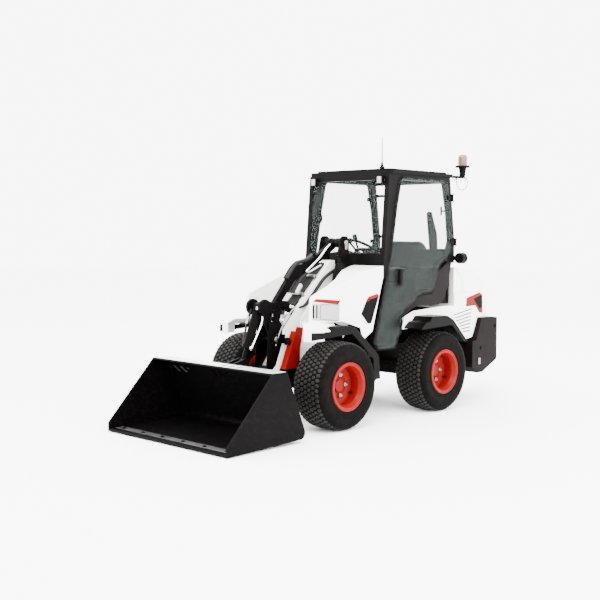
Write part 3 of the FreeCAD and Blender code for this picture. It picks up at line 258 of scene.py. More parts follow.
@dataclass(frozen=True)
class Finish:
    """A plain painted or moulded finish with mottling, grain and dust."""

    name: str
    colour: Colour
    rough: float = 0.4
    metal: float = 0.0
    coat: float = 0.0
    mottle: float = 0.12
    grain: float = 900.0
    depth: float = 0.0001
    edge: float = 0.003
    dust: float = 0.0
    shine: float = 0.5

    def material(self) -> bpy.types.Material:
        """Build the finish once and hand it out after that."""
        known = bpy.data.materials.get(f"{self.name}_finish")
        if known is None:
            recipe = Recipe(f"{self.name}_finish")
            self.mix(recipe)
            known = recipe.material
        return known

    def tinted(self, recipe: Recipe) -> Any:
        """Base colour, darker in patches and dusted towards the ground.

        Args:
            recipe: The recipe to build in.

        Returns:
            The colour's socket.
        """
        patches = recipe.noise(5.0, 5.0)
        darker = tuple(c * (1.0 - self.mottle) for c in self.colour)
        base = recipe.mix(self.colour, darker, patches.ramp(0.35, 0.75))
        low = 1.0 - recipe.axis("Z").ramp(0.05, 0.7)
        specks = recipe.noise(38.0, 6.0).ramp(0.42, 0.8)
        return recipe.mix(base, (0.20, 0.17, 0.14), low * specks * self.dust)

    def mix(self, recipe: Recipe) -> None:
        """Lay out the nodes.

        Args:
            recipe: The recipe to build in.
        """
        fine = recipe.noise(self.grain, 2.0)
        recipe.surface(Base_Color=self.tinted(recipe), Metallic=self.metal, Coat_Weight=self.coat,
                       Coat_Roughness=0.08,
                       Specular_IOR_Level=self.shine, Roughness=recipe.noise(11.0,
                           5.0) * 0.16 + (self.rough - 0.08))
        recipe.relief(fine, self.depth, 0.35, self.edge)


@dataclass(frozen=True)
class Moulded(Finish):
    """Grained plastic or vinyl."""

    def mix(self, recipe: Recipe) -> None:
        """Lay out the nodes with a soft grain.

        Args:
            recipe: The recipe to build in.
        """
        grain = recipe.noise(self.grain * 0.5, 2.0)
        recipe.surface(Base_Color=self.tinted(recipe), Specular_IOR_Level=self.shine,
                       Roughness=recipe.noise(9.0) * 0.15 + self.rough - 0.07)
        recipe.relief(grain, self.depth, 0.2, self.edge)


@dataclass(frozen=True)
class Rubber(Finish):
    """Tyre rubber: grey bloom on the tread."""

    def mix(self, recipe: Recipe) -> None:
        """Lay out the nodes.

        Args:
            recipe: The recipe to build in.
        """
        bloom = recipe.noise(24.0, 6.0).ramp(0.35, 0.75)
        colour = recipe.mix(self.colour, tuple(c * 2.1 for c in self.colour), bloom)
        recipe.surface(Base_Color=colour, Specular_IOR_Level=self.shine,
                       Roughness=recipe.noise(40.0, 5.0) * 0.22 + self.rough)
        recipe.relief(recipe.noise(700.0, 3.0), 0.0003, 0.4, self.edge)


@dataclass(frozen=True)
class Steel(Finish):
    """Bare or plated metal with fine lengthwise marks."""

    def mix(self, recipe: Recipe) -> None:
        """Lay out the nodes.

        Args:
            recipe: The recipe to build in.
        """
        marks = recipe.noise(260.0, 4.0, (1.0, 0.15, 0.15))
        recipe.surface(Base_Color=self.tinted(recipe), Metallic=1.0,
                       Roughness=marks * 0.2 + self.rough - 0.06)
        recipe.relief(marks, 0.00004, 0.3, self.edge)


@dataclass(frozen=True)
class Pane(Finish):
    """Thin tinted glass."""

    alpha: float = 0.12

    def mix(self, recipe: Recipe) -> None:
        """Lay out the nodes: faint smears change how much shows through.

        Args:
            recipe: The recipe to build in.
        """
        smears = recipe.noise(7.0, 5.0, (1.0, 1.0, 0.4))
        recipe.surface(Base_Color=self.colour, Roughness=recipe.noise(30.0) * 0.03 + self.rough, IOR=1.5,
                       Alpha=smears * 0.05 + self.alpha - 0.025, Specular_IOR_Level=0.3)
        recipe.material.surface_render_method = "BLENDED"


@dataclass(frozen=True)
class Lens(Finish):
    """Moulded lens that lets some light through."""

    glow: float = 0.15

    def mix(self, recipe: Recipe) -> None:
        """Lay out the nodes.

        Args:
            recipe: The recipe to build in.
        """
        bands = recipe.node("ShaderNodeTexWave", {"bands_direction": "Z"},
                            {"Vector": recipe.place(), "Scale": self.grain})
        bands = Signal(recipe, bands.outputs["Fac"])
        colour = recipe.mix(self.colour, tuple(c * 0.62 for c in self.colour), bands)
        recipe.surface(Base_Color=colour, Roughness=bands * 0.08 + self.rough, Coat_Weight=0.8,
                       Emission_Color=colour, Emission_Strength=self.glow)
        recipe.relief(bands, 0.0006, 0.5, self.edge)


WHITE = Finish("white_paint", (0.80, 0.79, 0.77), 0.36, coat=0.15, mottle=0.03, depth=0.00003, edge=0.006,
               dust=0.06)
FRAME_BLACK = Finish("frame_paint", (0.0015, 0.0012, 0.0012), 0.42, mottle=0.3, depth=0.00008, edge=0.004,
                     dust=0.01,
                     shine=0.03)
STEEL_BLACK = Finish("steel_paint", (0.0009, 0.0007, 0.0008), 0.44, mottle=0.3, depth=0.0002, edge=0.0025,
                     dust=0.01,
                     shine=0.02)
WEIGHT_BLACK = Finish("weight_paint", (0.0022, 0.0012, 0.0012), 0.50, mottle=0.3, grain=420.0, depth=0.0004,
                      edge=0.007,
                      dust=0.015, shine=0.03)
RED = Finish("red_paint", (0.125, 0.0014, 0.0008), 0.36, mottle=0.2, depth=0.00003, edge=0.003, dust=0.02,
             shine=0.06)
CAB_PLASTIC = Moulded("cab_plastic", (0.0016, 0.0012, 0.0012), 0.5, mottle=0.3, grain=620.0, depth=0.0003,
                      edge=0.004,
                      dust=0.01, shine=0.03)
INSIDE_PLASTIC = Moulded("inside_plastic", (0.0034, 0.0042, 0.0038), 0.6, mottle=0.2, grain=520.0,
                         depth=0.0002,
                         edge=0.008, shine=0.03)
SKIRT_PLASTIC = Moulded("skirt_plastic", (0.0030, 0.0017, 0.0017), 0.48, mottle=0.2, grain=620.0,
                        depth=0.0002,
                        edge=0.008, dust=0.02, shine=0.04)
FENDER_PLASTIC = Moulded("fender_plastic", (0.0009, 0.0007, 0.0007), 0.42, mottle=0.3, grain=560.0,
                         depth=0.0002,
                         edge=0.006, dust=0.03, shine=0.03)
TYRE = Rubber("tyre_rubber", (0.0010, 0.0008, 0.0007), 0.56, edge=0.001, shine=0.02)
KNOB = Rubber("tread_rubber", (0.0042, 0.0036, 0.0033), 0.50, edge=0.0015, shine=0.10)
HOSE = Rubber("hose_rubber", (0.0020, 0.0020, 0.0020), 0.38, edge=0.0, shine=0.12)
SEAL = Rubber("seal_rubber", (0.0014, 0.0014, 0.0014), 0.5, edge=0.0, shine=0.04)
CHROME = Steel("chrome_plate", (0.80, 0.80, 0.82), 0.16, mottle=0.05, edge=0.001)
ZINC = Steel("zinc_plate", (0.30, 0.29, 0.27), 0.30, mottle=0.35, edge=0.001)
GROUND = Steel("ground_steel", (0.70, 0.70, 0.70), 0.38, mottle=0.15, edge=0.001)
CAST = Finish("cast_iron", (0.0020, 0.0018, 0.0018), 0.62, mottle=0.4, grain=300.0, depth=0.0006, edge=0.004,
              dust=0.05, shine=0.02)
VINYL = Moulded("seat_vinyl", (0.0024, 0.0024, 0.0024), 0.5, mottle=0.2, grain=480.0, depth=0.0004, edge=0.0,
                shine=0.04)
CLEAR = Pane("clear_glass", (0.10, 0.13, 0.12), 0.02, alpha=0.035)
TINT = Pane("door_tint", (0.010, 0.018, 0.015), 0.02, alpha=0.16)
AMBER = Lens("amber_lens", (0.115, 0.040, 0.0005), 0.22, grain=34.0, edge=0.001, glow=0.35)
LAMP = Lens("lamp_lens", (0.30, 0.285, 0.285), 0.16, grain=60.0, edge=0.001, glow=0.04)
# Near-black sheet laid where slots, grooves, gaps and holes are: painted shade standing in for their depth.
SHADE_BLACK = Finish("painted_gap_shade", (0.0012, 0.0012, 0.0012), 0.7, depth=0.0001, edge=0.0, shine=0.02)
PALE = Finish("pale_panel", (0.30, 0.29, 0.29), 0.26, coat=0.2, mottle=0.03, depth=0.00002, edge=0.001)
GREY = Finish("grey_panel", (0.085, 0.082, 0.082), 0.4, mottle=0.1, depth=0.00005, edge=0.002, dust=0.03)
GREEN_DARK = Finish("green_dark", (0.006, 0.014, 0.010), 0.4, depth=0.0001, edge=0.0, shine=0.1)
YELLOW = Rubber("yellow_wire", (0.55, 0.30, 0.01), 0.4, edge=0.0)

NODE_FINISH: dict[str, Finish] = {
    "front_frame": FRAME_BLACK, "front_axle": CAST, "rear_axle": CAST, "cowl": WHITE,
    "front_fenders": FENDER_PLASTIC, "rear_fenders": FENDER_PLASTIC, "boom_support": RED,
    "cab_frame": FRAME_BLACK, "cab_roof": CAB_PLASTIC, "cab_floor": CAB_PLASTIC, "cab_glass": CLEAR,
    "cab_skirts": SKIRT_PLASTIC, "seat_pod": INSIDE_PLASTIC, "seat_cushion": VINYL, "seat_back": VINYL,
    "steering_wheel": CAB_PLASTIC, "lamps": CAB_PLASTIC, "beacon_base": CAB_PLASTIC,
    "beacon_lens": AMBER, "beacon_lead": HOSE, "antenna": CAB_PLASTIC, "rear_frame": FRAME_BLACK,
    "engine_block": CAST, "rear_body": WHITE, "counterweight": WEIGHT_BLACK, "rear_grille": CAB_PLASTIC,
    "hood": WHITE, "boom": WHITE, "levelling_link": STEEL_BLACK, "rocker": STEEL_BLACK,
    "tilt_pin": STEEL_BLACK, "nose_pin": STEEL_BLACK, "tilt_barrel": STEEL_BLACK,
    "tilt_rod": STEEL_BLACK, "lift_barrel": STEEL_BLACK, "lift_rod": CHROME,
    "steer_barrel": STEEL_BLACK, "steer_rod": CHROME, "hitch": STEEL_BLACK, "bucket": STEEL_BLACK,
    "door_glass": TINT, "door_fittings": CAB_PLASTIC, "tyre": TYRE, "rim": RED,
}


# ---- mesh making -------------------------------------------------------------------------------
class Form:
    """Gathers the faces of one piece and turns them into an object."""

    def __init__(self) -> None:
        """Start with no faces."""
        self.verts: list[Vector] = []
        self.faces: list[tuple[int, ...]] = []

    def loft(self, rings: Sequence[Sequence[Vector]], ends: bool = True, loop: bool = False) -> "Form":
        """Skin rings of equal count.

        Args:
            rings: The rings in order.
            ends: Whether the first and last ring are closed with a face.
            loop: Whether the last ring joins the first.

        Returns:
            This form.
        """
        base = len(self.verts)
        count = len(rings[0])
        for ring in rings:
            self.verts.extend(Vector(p) for p in ring)
        spans = len(rings) if loop else len(rings) - 1
        for i in range(spans):
            low = base + i * count
            high = base + ((i + 1) % len(rings)) * count
            for j in range(count):
                k = (j + 1) % count
                self.faces.append((low + j, low + k, high + k, high + j))
        if ends and not loop:
            self.faces.append(tuple(reversed(range(base, base + count))))
            self.faces.append(tuple(range(base + spans * count, base + (spans + 1) * count)))
        return self

    def slab(self, outline: Sequence[Vector], depth: Vector) -> "Form":
        """Outline pushed along a vector."""
        return self.loft([outline, [p + depth for p in outline]])

    def box(self, centre: Vector, size: Sequence[float], turn: Optional[Matrix] = None) -> "Form":
        """Box about a centre, turned if asked.

        Args:
            centre: Middle of the box.
            size: Edge lengths in metres.
            turn: Rotation about the centre.

        Returns:
            This form.
        """
        turn = turn or Matrix.Identity(3)
        half = [s / 2.0 for s in size]
        ring = [(-half[0], -half[1]), (half[0], -half[1]), (half[0], half[1]), (-half[0], half[1])]
        rings = [[centre + turn @ Vector((x, y, z)) for x, y in ring] for z in (-half[2], half[2])]
        return self.loft(rings)

    def lathe(self, centre: Vector, axis: Vector, profile: Iterable[Point], steps: int = 48,
              loop: bool = False) -> "Form":
        """Turned shape.

        Args:
            centre: Point on the axis from which the profile's heights count.
            axis: Direction of the axis.
            profile: Pairs of radius and height in metres.
            steps: Segments round the axis.
            loop: Whether the profile closes on itself.

        Returns:
            This form.
        """
        axis = axis.normalized()
        side = axis.orthogonal().normalized()
        other = axis.cross(side)
        rings = []
        for radius, height in profile:
            ring = []
            for k in range(steps):
                a = 2.0 * math.pi * k / steps
                ring.append(centre + axis * height + (side * math.cos(a) + other * math.sin(a)) * radius)
            rings.append(ring)
        return self.loft(rings, ends=not loop, loop=loop)

    def tube(self, path: Sequence[Vector], radius: float, steps: int = 12) -> "Form":
        """Round bar along a path.

        Args:
            path: Points of the centre line.
            radius: Radius in metres.
            steps: Segments round the bar.

        Returns:
            This form.
        """
        rings = []
        side = (path[1] - path[0]).orthogonal().normalized()
        for k, here in enumerate(path):
            ahead = path[min(k + 1, len(path) - 1)] - path[max(k - 1, 0)]
            ahead.normalize()
            side = (side - ahead * side.dot(ahead)).normalized()
            other = ahead.cross(side)
            ring = []
            for j in range(steps):
                a = 2.0 * math.pi * j / steps
                ring.append(here + (side * math.cos(a) + other * math.sin(a)) * radius)
            rings.append(ring)
        return self.loft(rings)

    def bolt(self, centre: Vector, axis: Vector, across: float = 0.012, high: float = 0.006) -> "Form":
        """Hexagon head on a washer.

        Args:
            centre: Middle of the seat.
            axis: Direction in which the head stands.
            across: Radius of the hexagon.
            high: Height of the head.

        Returns:
            This form.
        """
        self.lathe(centre, axis, [(across * 1.45, 0.0), (across * 1.45, high * 0.25),
                                  (across * 1.3, high * 0.3)], 20)
        return self.lathe(centre, axis, [(across, high * 0.3), (across, high * 0.85), (across * 0.86, high)],
                          6)

    def mirrored(self) -> "Form":
        """Copy on the machine's other side."""
        other = Form()
        other.verts = [Vector((-v.x, v.y, v.z)) for v in self.verts]
        other.faces = [tuple(reversed(f)) for f in self.faces]
        return other

    def join(self, other: "Form") -> "Form":
        """Add another form's faces."""
        base = len(self.verts)
        self.verts.extend(other.verts)
        self.faces.extend(tuple(base + i for i in f) for f in other.faces)
        return self

    def both(self) -> "Form":
        """This form with its mirror image."""
        return self.join(self.mirrored())

    def piece(self, name: str, finish: Finish, body: Any, chamfer: float = 0.0, replaces: Sequence[str] = (),
              slot: Optional[str] = None, rounded: int = 0) -> bpy.types.Object:
        """Turn the form into an object that rides on a body.

        Args:
            name: The object's name.
            finish: Its finish.
            body: The body it rides on.
            chamfer: Width in metres of bevelled edges.
            replaces: CAD nodes it stands for.
            slot: Not used.
            rounded: Levels of subdivision.

        Returns:
            The new object.
        """
        mesh = bpy.data.meshes.new(name)
        mesh.from_pydata([tuple(v) for v in self.verts], [], self.faces)
        mesh.validate()
        obj = bpy.data.objects.new(name, mesh)
        bpy.context.scene.collection.objects.link(obj)
        tidy = bmesh.new()
        tidy.from_mesh(mesh)
        bmesh.ops.recalc_face_normals(tidy, faces=tidy.faces)
        tidy.to_mesh(mesh)
        tidy.free()
        if chamfer > 0.0:
            bevel = obj.modifiers.new("chamfer", "BEVEL")
            bevel.width = chamfer
            bevel.segments = 2
            bevel.limit_method = "ANGLE"
            bevel.angle_limit = math.radians(35)
        if rounded:
            obj.modifiers.new("smooth", "SUBSURF").levels = rounded
        settle(obj)
        mesh = obj.data
        mesh.polygons.foreach_set("use_smooth", [True] * len(mesh.polygons))
        mesh.set_sharp_from_angle(angle=math.radians(38))
        mesh.materials.clear()
        mesh.materials.append(finish.material())
        name_of = body.value if isinstance(body, Body) else body
        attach(obj, name_of)
        if replaces:
            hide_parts(*replaces)
        log.info("%s: %d faces on %s", name, len(mesh.polygons), name_of)
        return obj


def settle(obj: bpy.types.Object) -> None:
    """Bake an object's modifiers into its mesh.

    Args:
        obj: The object to settle.
    """
    if not obj.modifiers:
        return
    graph = bpy.context.evaluated_depsgraph_get()
    baked = bpy.data.meshes.new_from_object(obj.evaluated_get(graph), depsgraph=graph)
    obj.modifiers.clear()
    obj.data = baked


def smooth_path(points: Sequence[Vector], steps: int = 6) -> list[Vector]:
    """Rounded centre line of a bent metal line.

    Args:
        points: Corners of the line.
        steps: Points to each bend.

    Returns:
        Points along the rounded line.
    """
    path = [points[0]]
    for before, here, after in zip(points, points[1:], points[2:]):
        cut = 0.42 * min((here - before).length, (after - here).length)
        start = here + (before - here).normalized() * cut
        end = here + (after - here).normalized() * cut
        for k in range(steps + 1):
            t = k / steps
            path.append(start * (1 - t) ** 2 + here * 2 * t * (1 - t) + end * t ** 2)
    return path + [points[-1]]


def rounded_outline(points: Sequence[Sequence[float]], steps: int = 5) -> list[Point]:
    """Flat outline with arcs at its corners.

    Args:
        points: Corners as (rearward, up) or (rearward, up, radius) in millimetres.
        steps: Segments to each arc.

    Returns:
        The outline's points.
    """
    flat = []
    count = len(points)
    for i, p in enumerate(points):
        here = Vector((p[0], p[1]))
        if len(p) < 3:
            flat.append((here.x, here.y))
            continue
        to_last = (Vector(points[i - 1][:2]) - here)
        to_next = (Vector(points[(i + 1) % count][:2]) - here)
        half = to_last.angle(to_next) / 2.0
        cut = min(p[2] / math.tan(half), to_last.length * 0.48, to_next.length * 0.48)
        start = here + to_last.normalized() * cut
        end = here + to_next.normalized() * cut
        for k in range(steps + 1):
            t = k / steps
            q = start * (1 - t) ** 2 + here * 2 * t * (1 - t) + end * t ** 2
            flat.append((q.x, q.y))
    return flat


class Skin:
    """Outer surface of CAD nodes, onto which flat trim is laid."""

    def __init__(self, *nodes: str) -> None:
        """Gather the nodes' faces.

        Args:
            *nodes: Names of CAD nodes.
        """
        verts: list[Vector] = []
        faces: list[list[int]] = []
        for node in nodes:
            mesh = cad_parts[node].data
            base = len(verts)
            verts.extend(v.co.copy() for v in mesh.vertices)
            faces.extend([base + i for i in p.vertices] for p in mesh.polygons)
        self.tree = BVHTree.FromPolygons(verts, faces)

    def patch(self, outline: Sequence[Point], lift: float, thick: float = 0.0015, cuts: int = 3,
              side: Side = Side.LEFT) -> Form:
        """Thin plate that follows the flank's surface.

        Args:
            outline: Corners (rearward, up) in millimetres.
            lift: Height of its face over the surface, in metres.
            thick: Thickness in metres.
            cuts: Cuts along each triangle's edge.
            side: Which flank it lies on.

        Returns:
            The plate as a form.
        """
        work = bmesh.new()
        corners = [work.verts.new(at(900.0, *p)) for p in outline]
        face = work.faces.new(corners)
        bmesh.ops.triangulate(work, faces=[face])
        if cuts:
            bmesh.ops.subdivide_edges(work, edges=work.edges[:], cuts=cuts, use_grid_fill=True)
        bmesh.ops.triangulate(work, faces=work.faces[:])
        last = 0.43
        for v in work.verts:
            hit = self.tree.ray_cast(Vector((0.9, v.co.y, v.co.z)), Vector((-1, 0, 0)), 0.8)[0]
            last = hit.x if hit else last
            v.co.x = last
        work.normal_update()
        rim = [e for e in work.edges if e.is_boundary]
        form = Form()
        work.verts.index_update()
        count = len(work.verts)
        for shift in (lift, lift - thick):
            form.verts.extend(v.co + Vector((shift, 0, 0)) for v in work.verts)
        for f in work.faces:
            ids = tuple(v.index for v in f.verts)
            form.faces.append(ids)
            form.faces.append(tuple(count + i for i in reversed(ids)))
        for e in rim:
            a, b = (v.index for v in e.verts)
            form.faces.append((a, b, count + b, count + a))
        work.free()
        return form if side is Side.LEFT else form.mirrored()


# ---- wheels ------------------------------------------------------------------------------------
@dataclass
class Wheels:
    """Four turf tyres with knobbed treads, and their rims' trim."""

    knob: float = 0.0085
    rows: int = 7
    pitch: float = 0.0350
    around: int = 54
    section: list[Point] = field(default_factory=lambda: [
        (0.168, 0.118), (0.180, 0.133), (0.192, 0.141), (0.197, 0.1435), (0.202, 0.1415), (0.232, 0.1465),
        (0.262, 0.1472), (0.283, 0.1455), (0.297, 0.1405), (0.306, 0.1330), (0.3135, 0.120), (0.3185, 0.100),
        (0.3210, 0.070), (0.3215, 0.035), (0.3215, 0.0)])

    def crown_at(self, across: float) -> tuple[float, float]:
        """Radius of the carcass and its lean at a distance from the middle.

        Args:
            across: Distance from the wheel's middle plane.

        Returns:
            The radius and the tilt of the surface in radians.
        """
        wide = abs(across)
        points = [p for p in self.section if p[0] > 0.29]
        points.sort(key=lambda p: p[1])
        for (r0, x0), (r1, x1) in zip(points, points[1:]):
            if x0 <= wide <= x1:
                share = (wide - x0) / (x1 - x0)
                return r0 + (r1 - r0) * share, math.atan2(r0 - r1, x1 - x0)
        return points[-1][0], 1.0

    def knobs(self, centre: Vector) -> Form:
        """Rows of six-sided knobs, each row half a pitch on from the last.

        Args:
            centre: The wheel's middle.

        Returns:
            The knobs as a form.
        """
        form = Form()
        half = (self.rows - 1) / 2.0
        for row in range(self.rows):
            across = (row - half) * self.pitch
            radius, tilt = self.crown_at(across)
            lean = math.copysign(tilt, across) if abs(across) > 1e-6 else 0.0
            size = 0.0160 if abs(row - half) < half else 0.0170
            high = self.knob if abs(row - half) < half else self.knob * 0.8
            for k in range(self.around):
                a = 2.0 * math.pi * (k + 0.5 * (row % 2)) / self.around
                out = Vector((0.0, math.cos(a), math.sin(a)))
                normal = (out * math.cos(lean) + Vector((1, 0, 0)) * math.sin(lean)).normalized()
                along = Vector((0.0, -math.sin(a), math.cos(a)))
                wide = normal.cross(along)
                foot = centre + Vector((across, 0, 0)) + out * radius
                rings = []
                for scale, lift in ((1.10, -0.003), (1.0, high - 0.0022), (0.80, high)):
                    ring = []
                    for j in range(6):
                        b = math.pi * j / 3.0 + 0.35
                        ring.append(foot + normal * lift
                                    + (along * math.cos(b) * 0.92 + wide * math.sin(b)) * size * scale)
                    rings.append(ring)
                form.loft(rings)
        return form

    def tyre(self, name: str, centre: Vector) -> None:
        """One tyre with its tread.

        Args:
            name: Which wheel, such as front_left.
            centre: The wheel's middle.
        """
        full = self.section + [(r, -x) for r, x in reversed(self.section[:-1])]
        form = Form().lathe(centre, Vector((1, 0, 0)), full, 120, loop=True)
        form.piece(f"turf_tyre_{name}", TYRE, f"wheel_{name}", replaces=(f"tyre_{name}",), slot="tyre")
        self.knobs(centre).piece(f"turf_tread_{name}", KNOB, f"wheel_{name}", slot="tyre")

    def rim_trim(self, name: str, centre: Vector, out: float) -> None:
        """Rolled lip, bolts and valve of one rim.

        Args:
            name: Which wheel.
            centre: The wheel's middle.
            out: 1 on the left, -1 on the right.
        """
        axis = Vector((out, 0, 0))
        lip = [(0.1765 + 0.0075 * math.cos(a), 0.1370 + 0.0075 * math.sin(a)) for a in
               (2.0 * math.pi * k / 12 for k in range(12))]
        step = [(0.1662, 0.070), (0.1480, 0.066), (0.1440, 0.060), (0.1440, 0.036), (0.1662, 0.032)]
        form = Form().lathe(centre, axis, lip, 72, loop=True).lathe(centre, axis, step, 72, loop=True)
        form.piece(f"rim_lip_{name}", RED, f"wheel_{name}", slot="red_paint")
        studs = Form()
        for k in range(5):
            a = 2.0 * math.pi * k / 5
            studs.bolt(centre + axis * 0.032 + Vector((0, math.cos(a), math.sin(a))) * 0.082, axis, 0.011,
                       0.012)
        studs.piece(f"wheel_bolts_{name}", ZINC, f"wheel_{name}", slot="chrome")
        valve = Form()
        foot = centre + Vector((0, 0.118, -0.062))
        valve.tube([foot + axis * 0.030, foot + axis * 0.062], 0.0045, 10)
        valve.lathe(foot + axis * 0.058, axis, [(0.0065, 0.0), (0.0065, 0.012), (0.004, 0.014)], 12)
        valve.piece(f"valve_{name}", SEAL, f"wheel_{name}", slot="tyre")

    def build(self) -> None:
        """Make all four."""
        for end, rear in (("front", 0.0), ("rear", WHEELBASE)):
            for side, out in (("left", 1.0), ("right", -1.0)):
                centre = Vector((out * TRACK_HALF, FRONT_AXLE_Y + rear, AXLE_Z))
                self.tyre(f"{end}_{side}", centre)
                self.rim_trim(f"{end}_{side}", centre, out)


# ---- bucket and linkage ------------------------------------------------------------------------
@dataclass
class BucketTrim:
    """Wear edge, top flange, bolts and welds of the bucket."""

    half: float = 650.0
    lip: Point = (-1249.0, 6.0)
    window: float = 78.0

    def build(self) -> None:
        """Make the trim."""
        edge = Form()
        y, z = self.lip
        profile = [(y + 1, z + 2), (y + 4, z + 17), (y + 118, z + 21), (y + 122, z + 17)]
        edge.loft([[at(x, *p) for p in profile] for x in (-self.half + 14, self.half - 14)])
        edge.piece("bucket_edge", Finish("worn_edge", (0.10, 0.10, 0.10), 0.34, metal=0.8, mottle=0.4,
                                         grain=120.0,
                                         depth=0.0003, edge=0.002), Body.BUCKET, 0.0015, slot="black_steel")
        flange = Form()
        marks = [-self.half + 14] + [c for k in range(3) for c in (self.window + k * 76,
            self.window + k * 76 + 40)]
        marks.append(self.half - 14)
        spans = [(-829, -805, marks[0], marks[-1]), (-747, -703, marks[0], marks[-1])]
        spans += [(-805, -747, a, b) for a, b in zip(marks[::2], marks[1::2])]
        for y0, y1, x0, x1 in spans:
            flange.box(at((x0 + x1) / 2, (y0 + y1) / 2, 513.0),
                       ((x1 - x0) / 1000.0, (y1 - y0) / 1000.0, 0.002))
        flange.piece("bucket_flange", GROUND, Body.BUCKET, slot="black_steel")
        heads = Form()
        for k in range(6):
            heads.bolt(at(-560 + k * 224, y + 78, z + 20.4), Vector((0, 0, 1)), 0.011, 0.006)
        heads.piece("edge_bolts", STEEL_BLACK, Body.BUCKET, slot="black_steel")
        weld = Form()
        for x in (-self.half + 14, self.half - 14):
            path = [at(x, *p) for p in ((y + 60, z + 20), (-560, 46), (-520, 60), (-703, 500))]
            weld.tube(smooth_path(path), 0.005, 8)
        weld.piece("bucket_welds", STEEL_BLACK, Body.BUCKET, slot="black_steel")


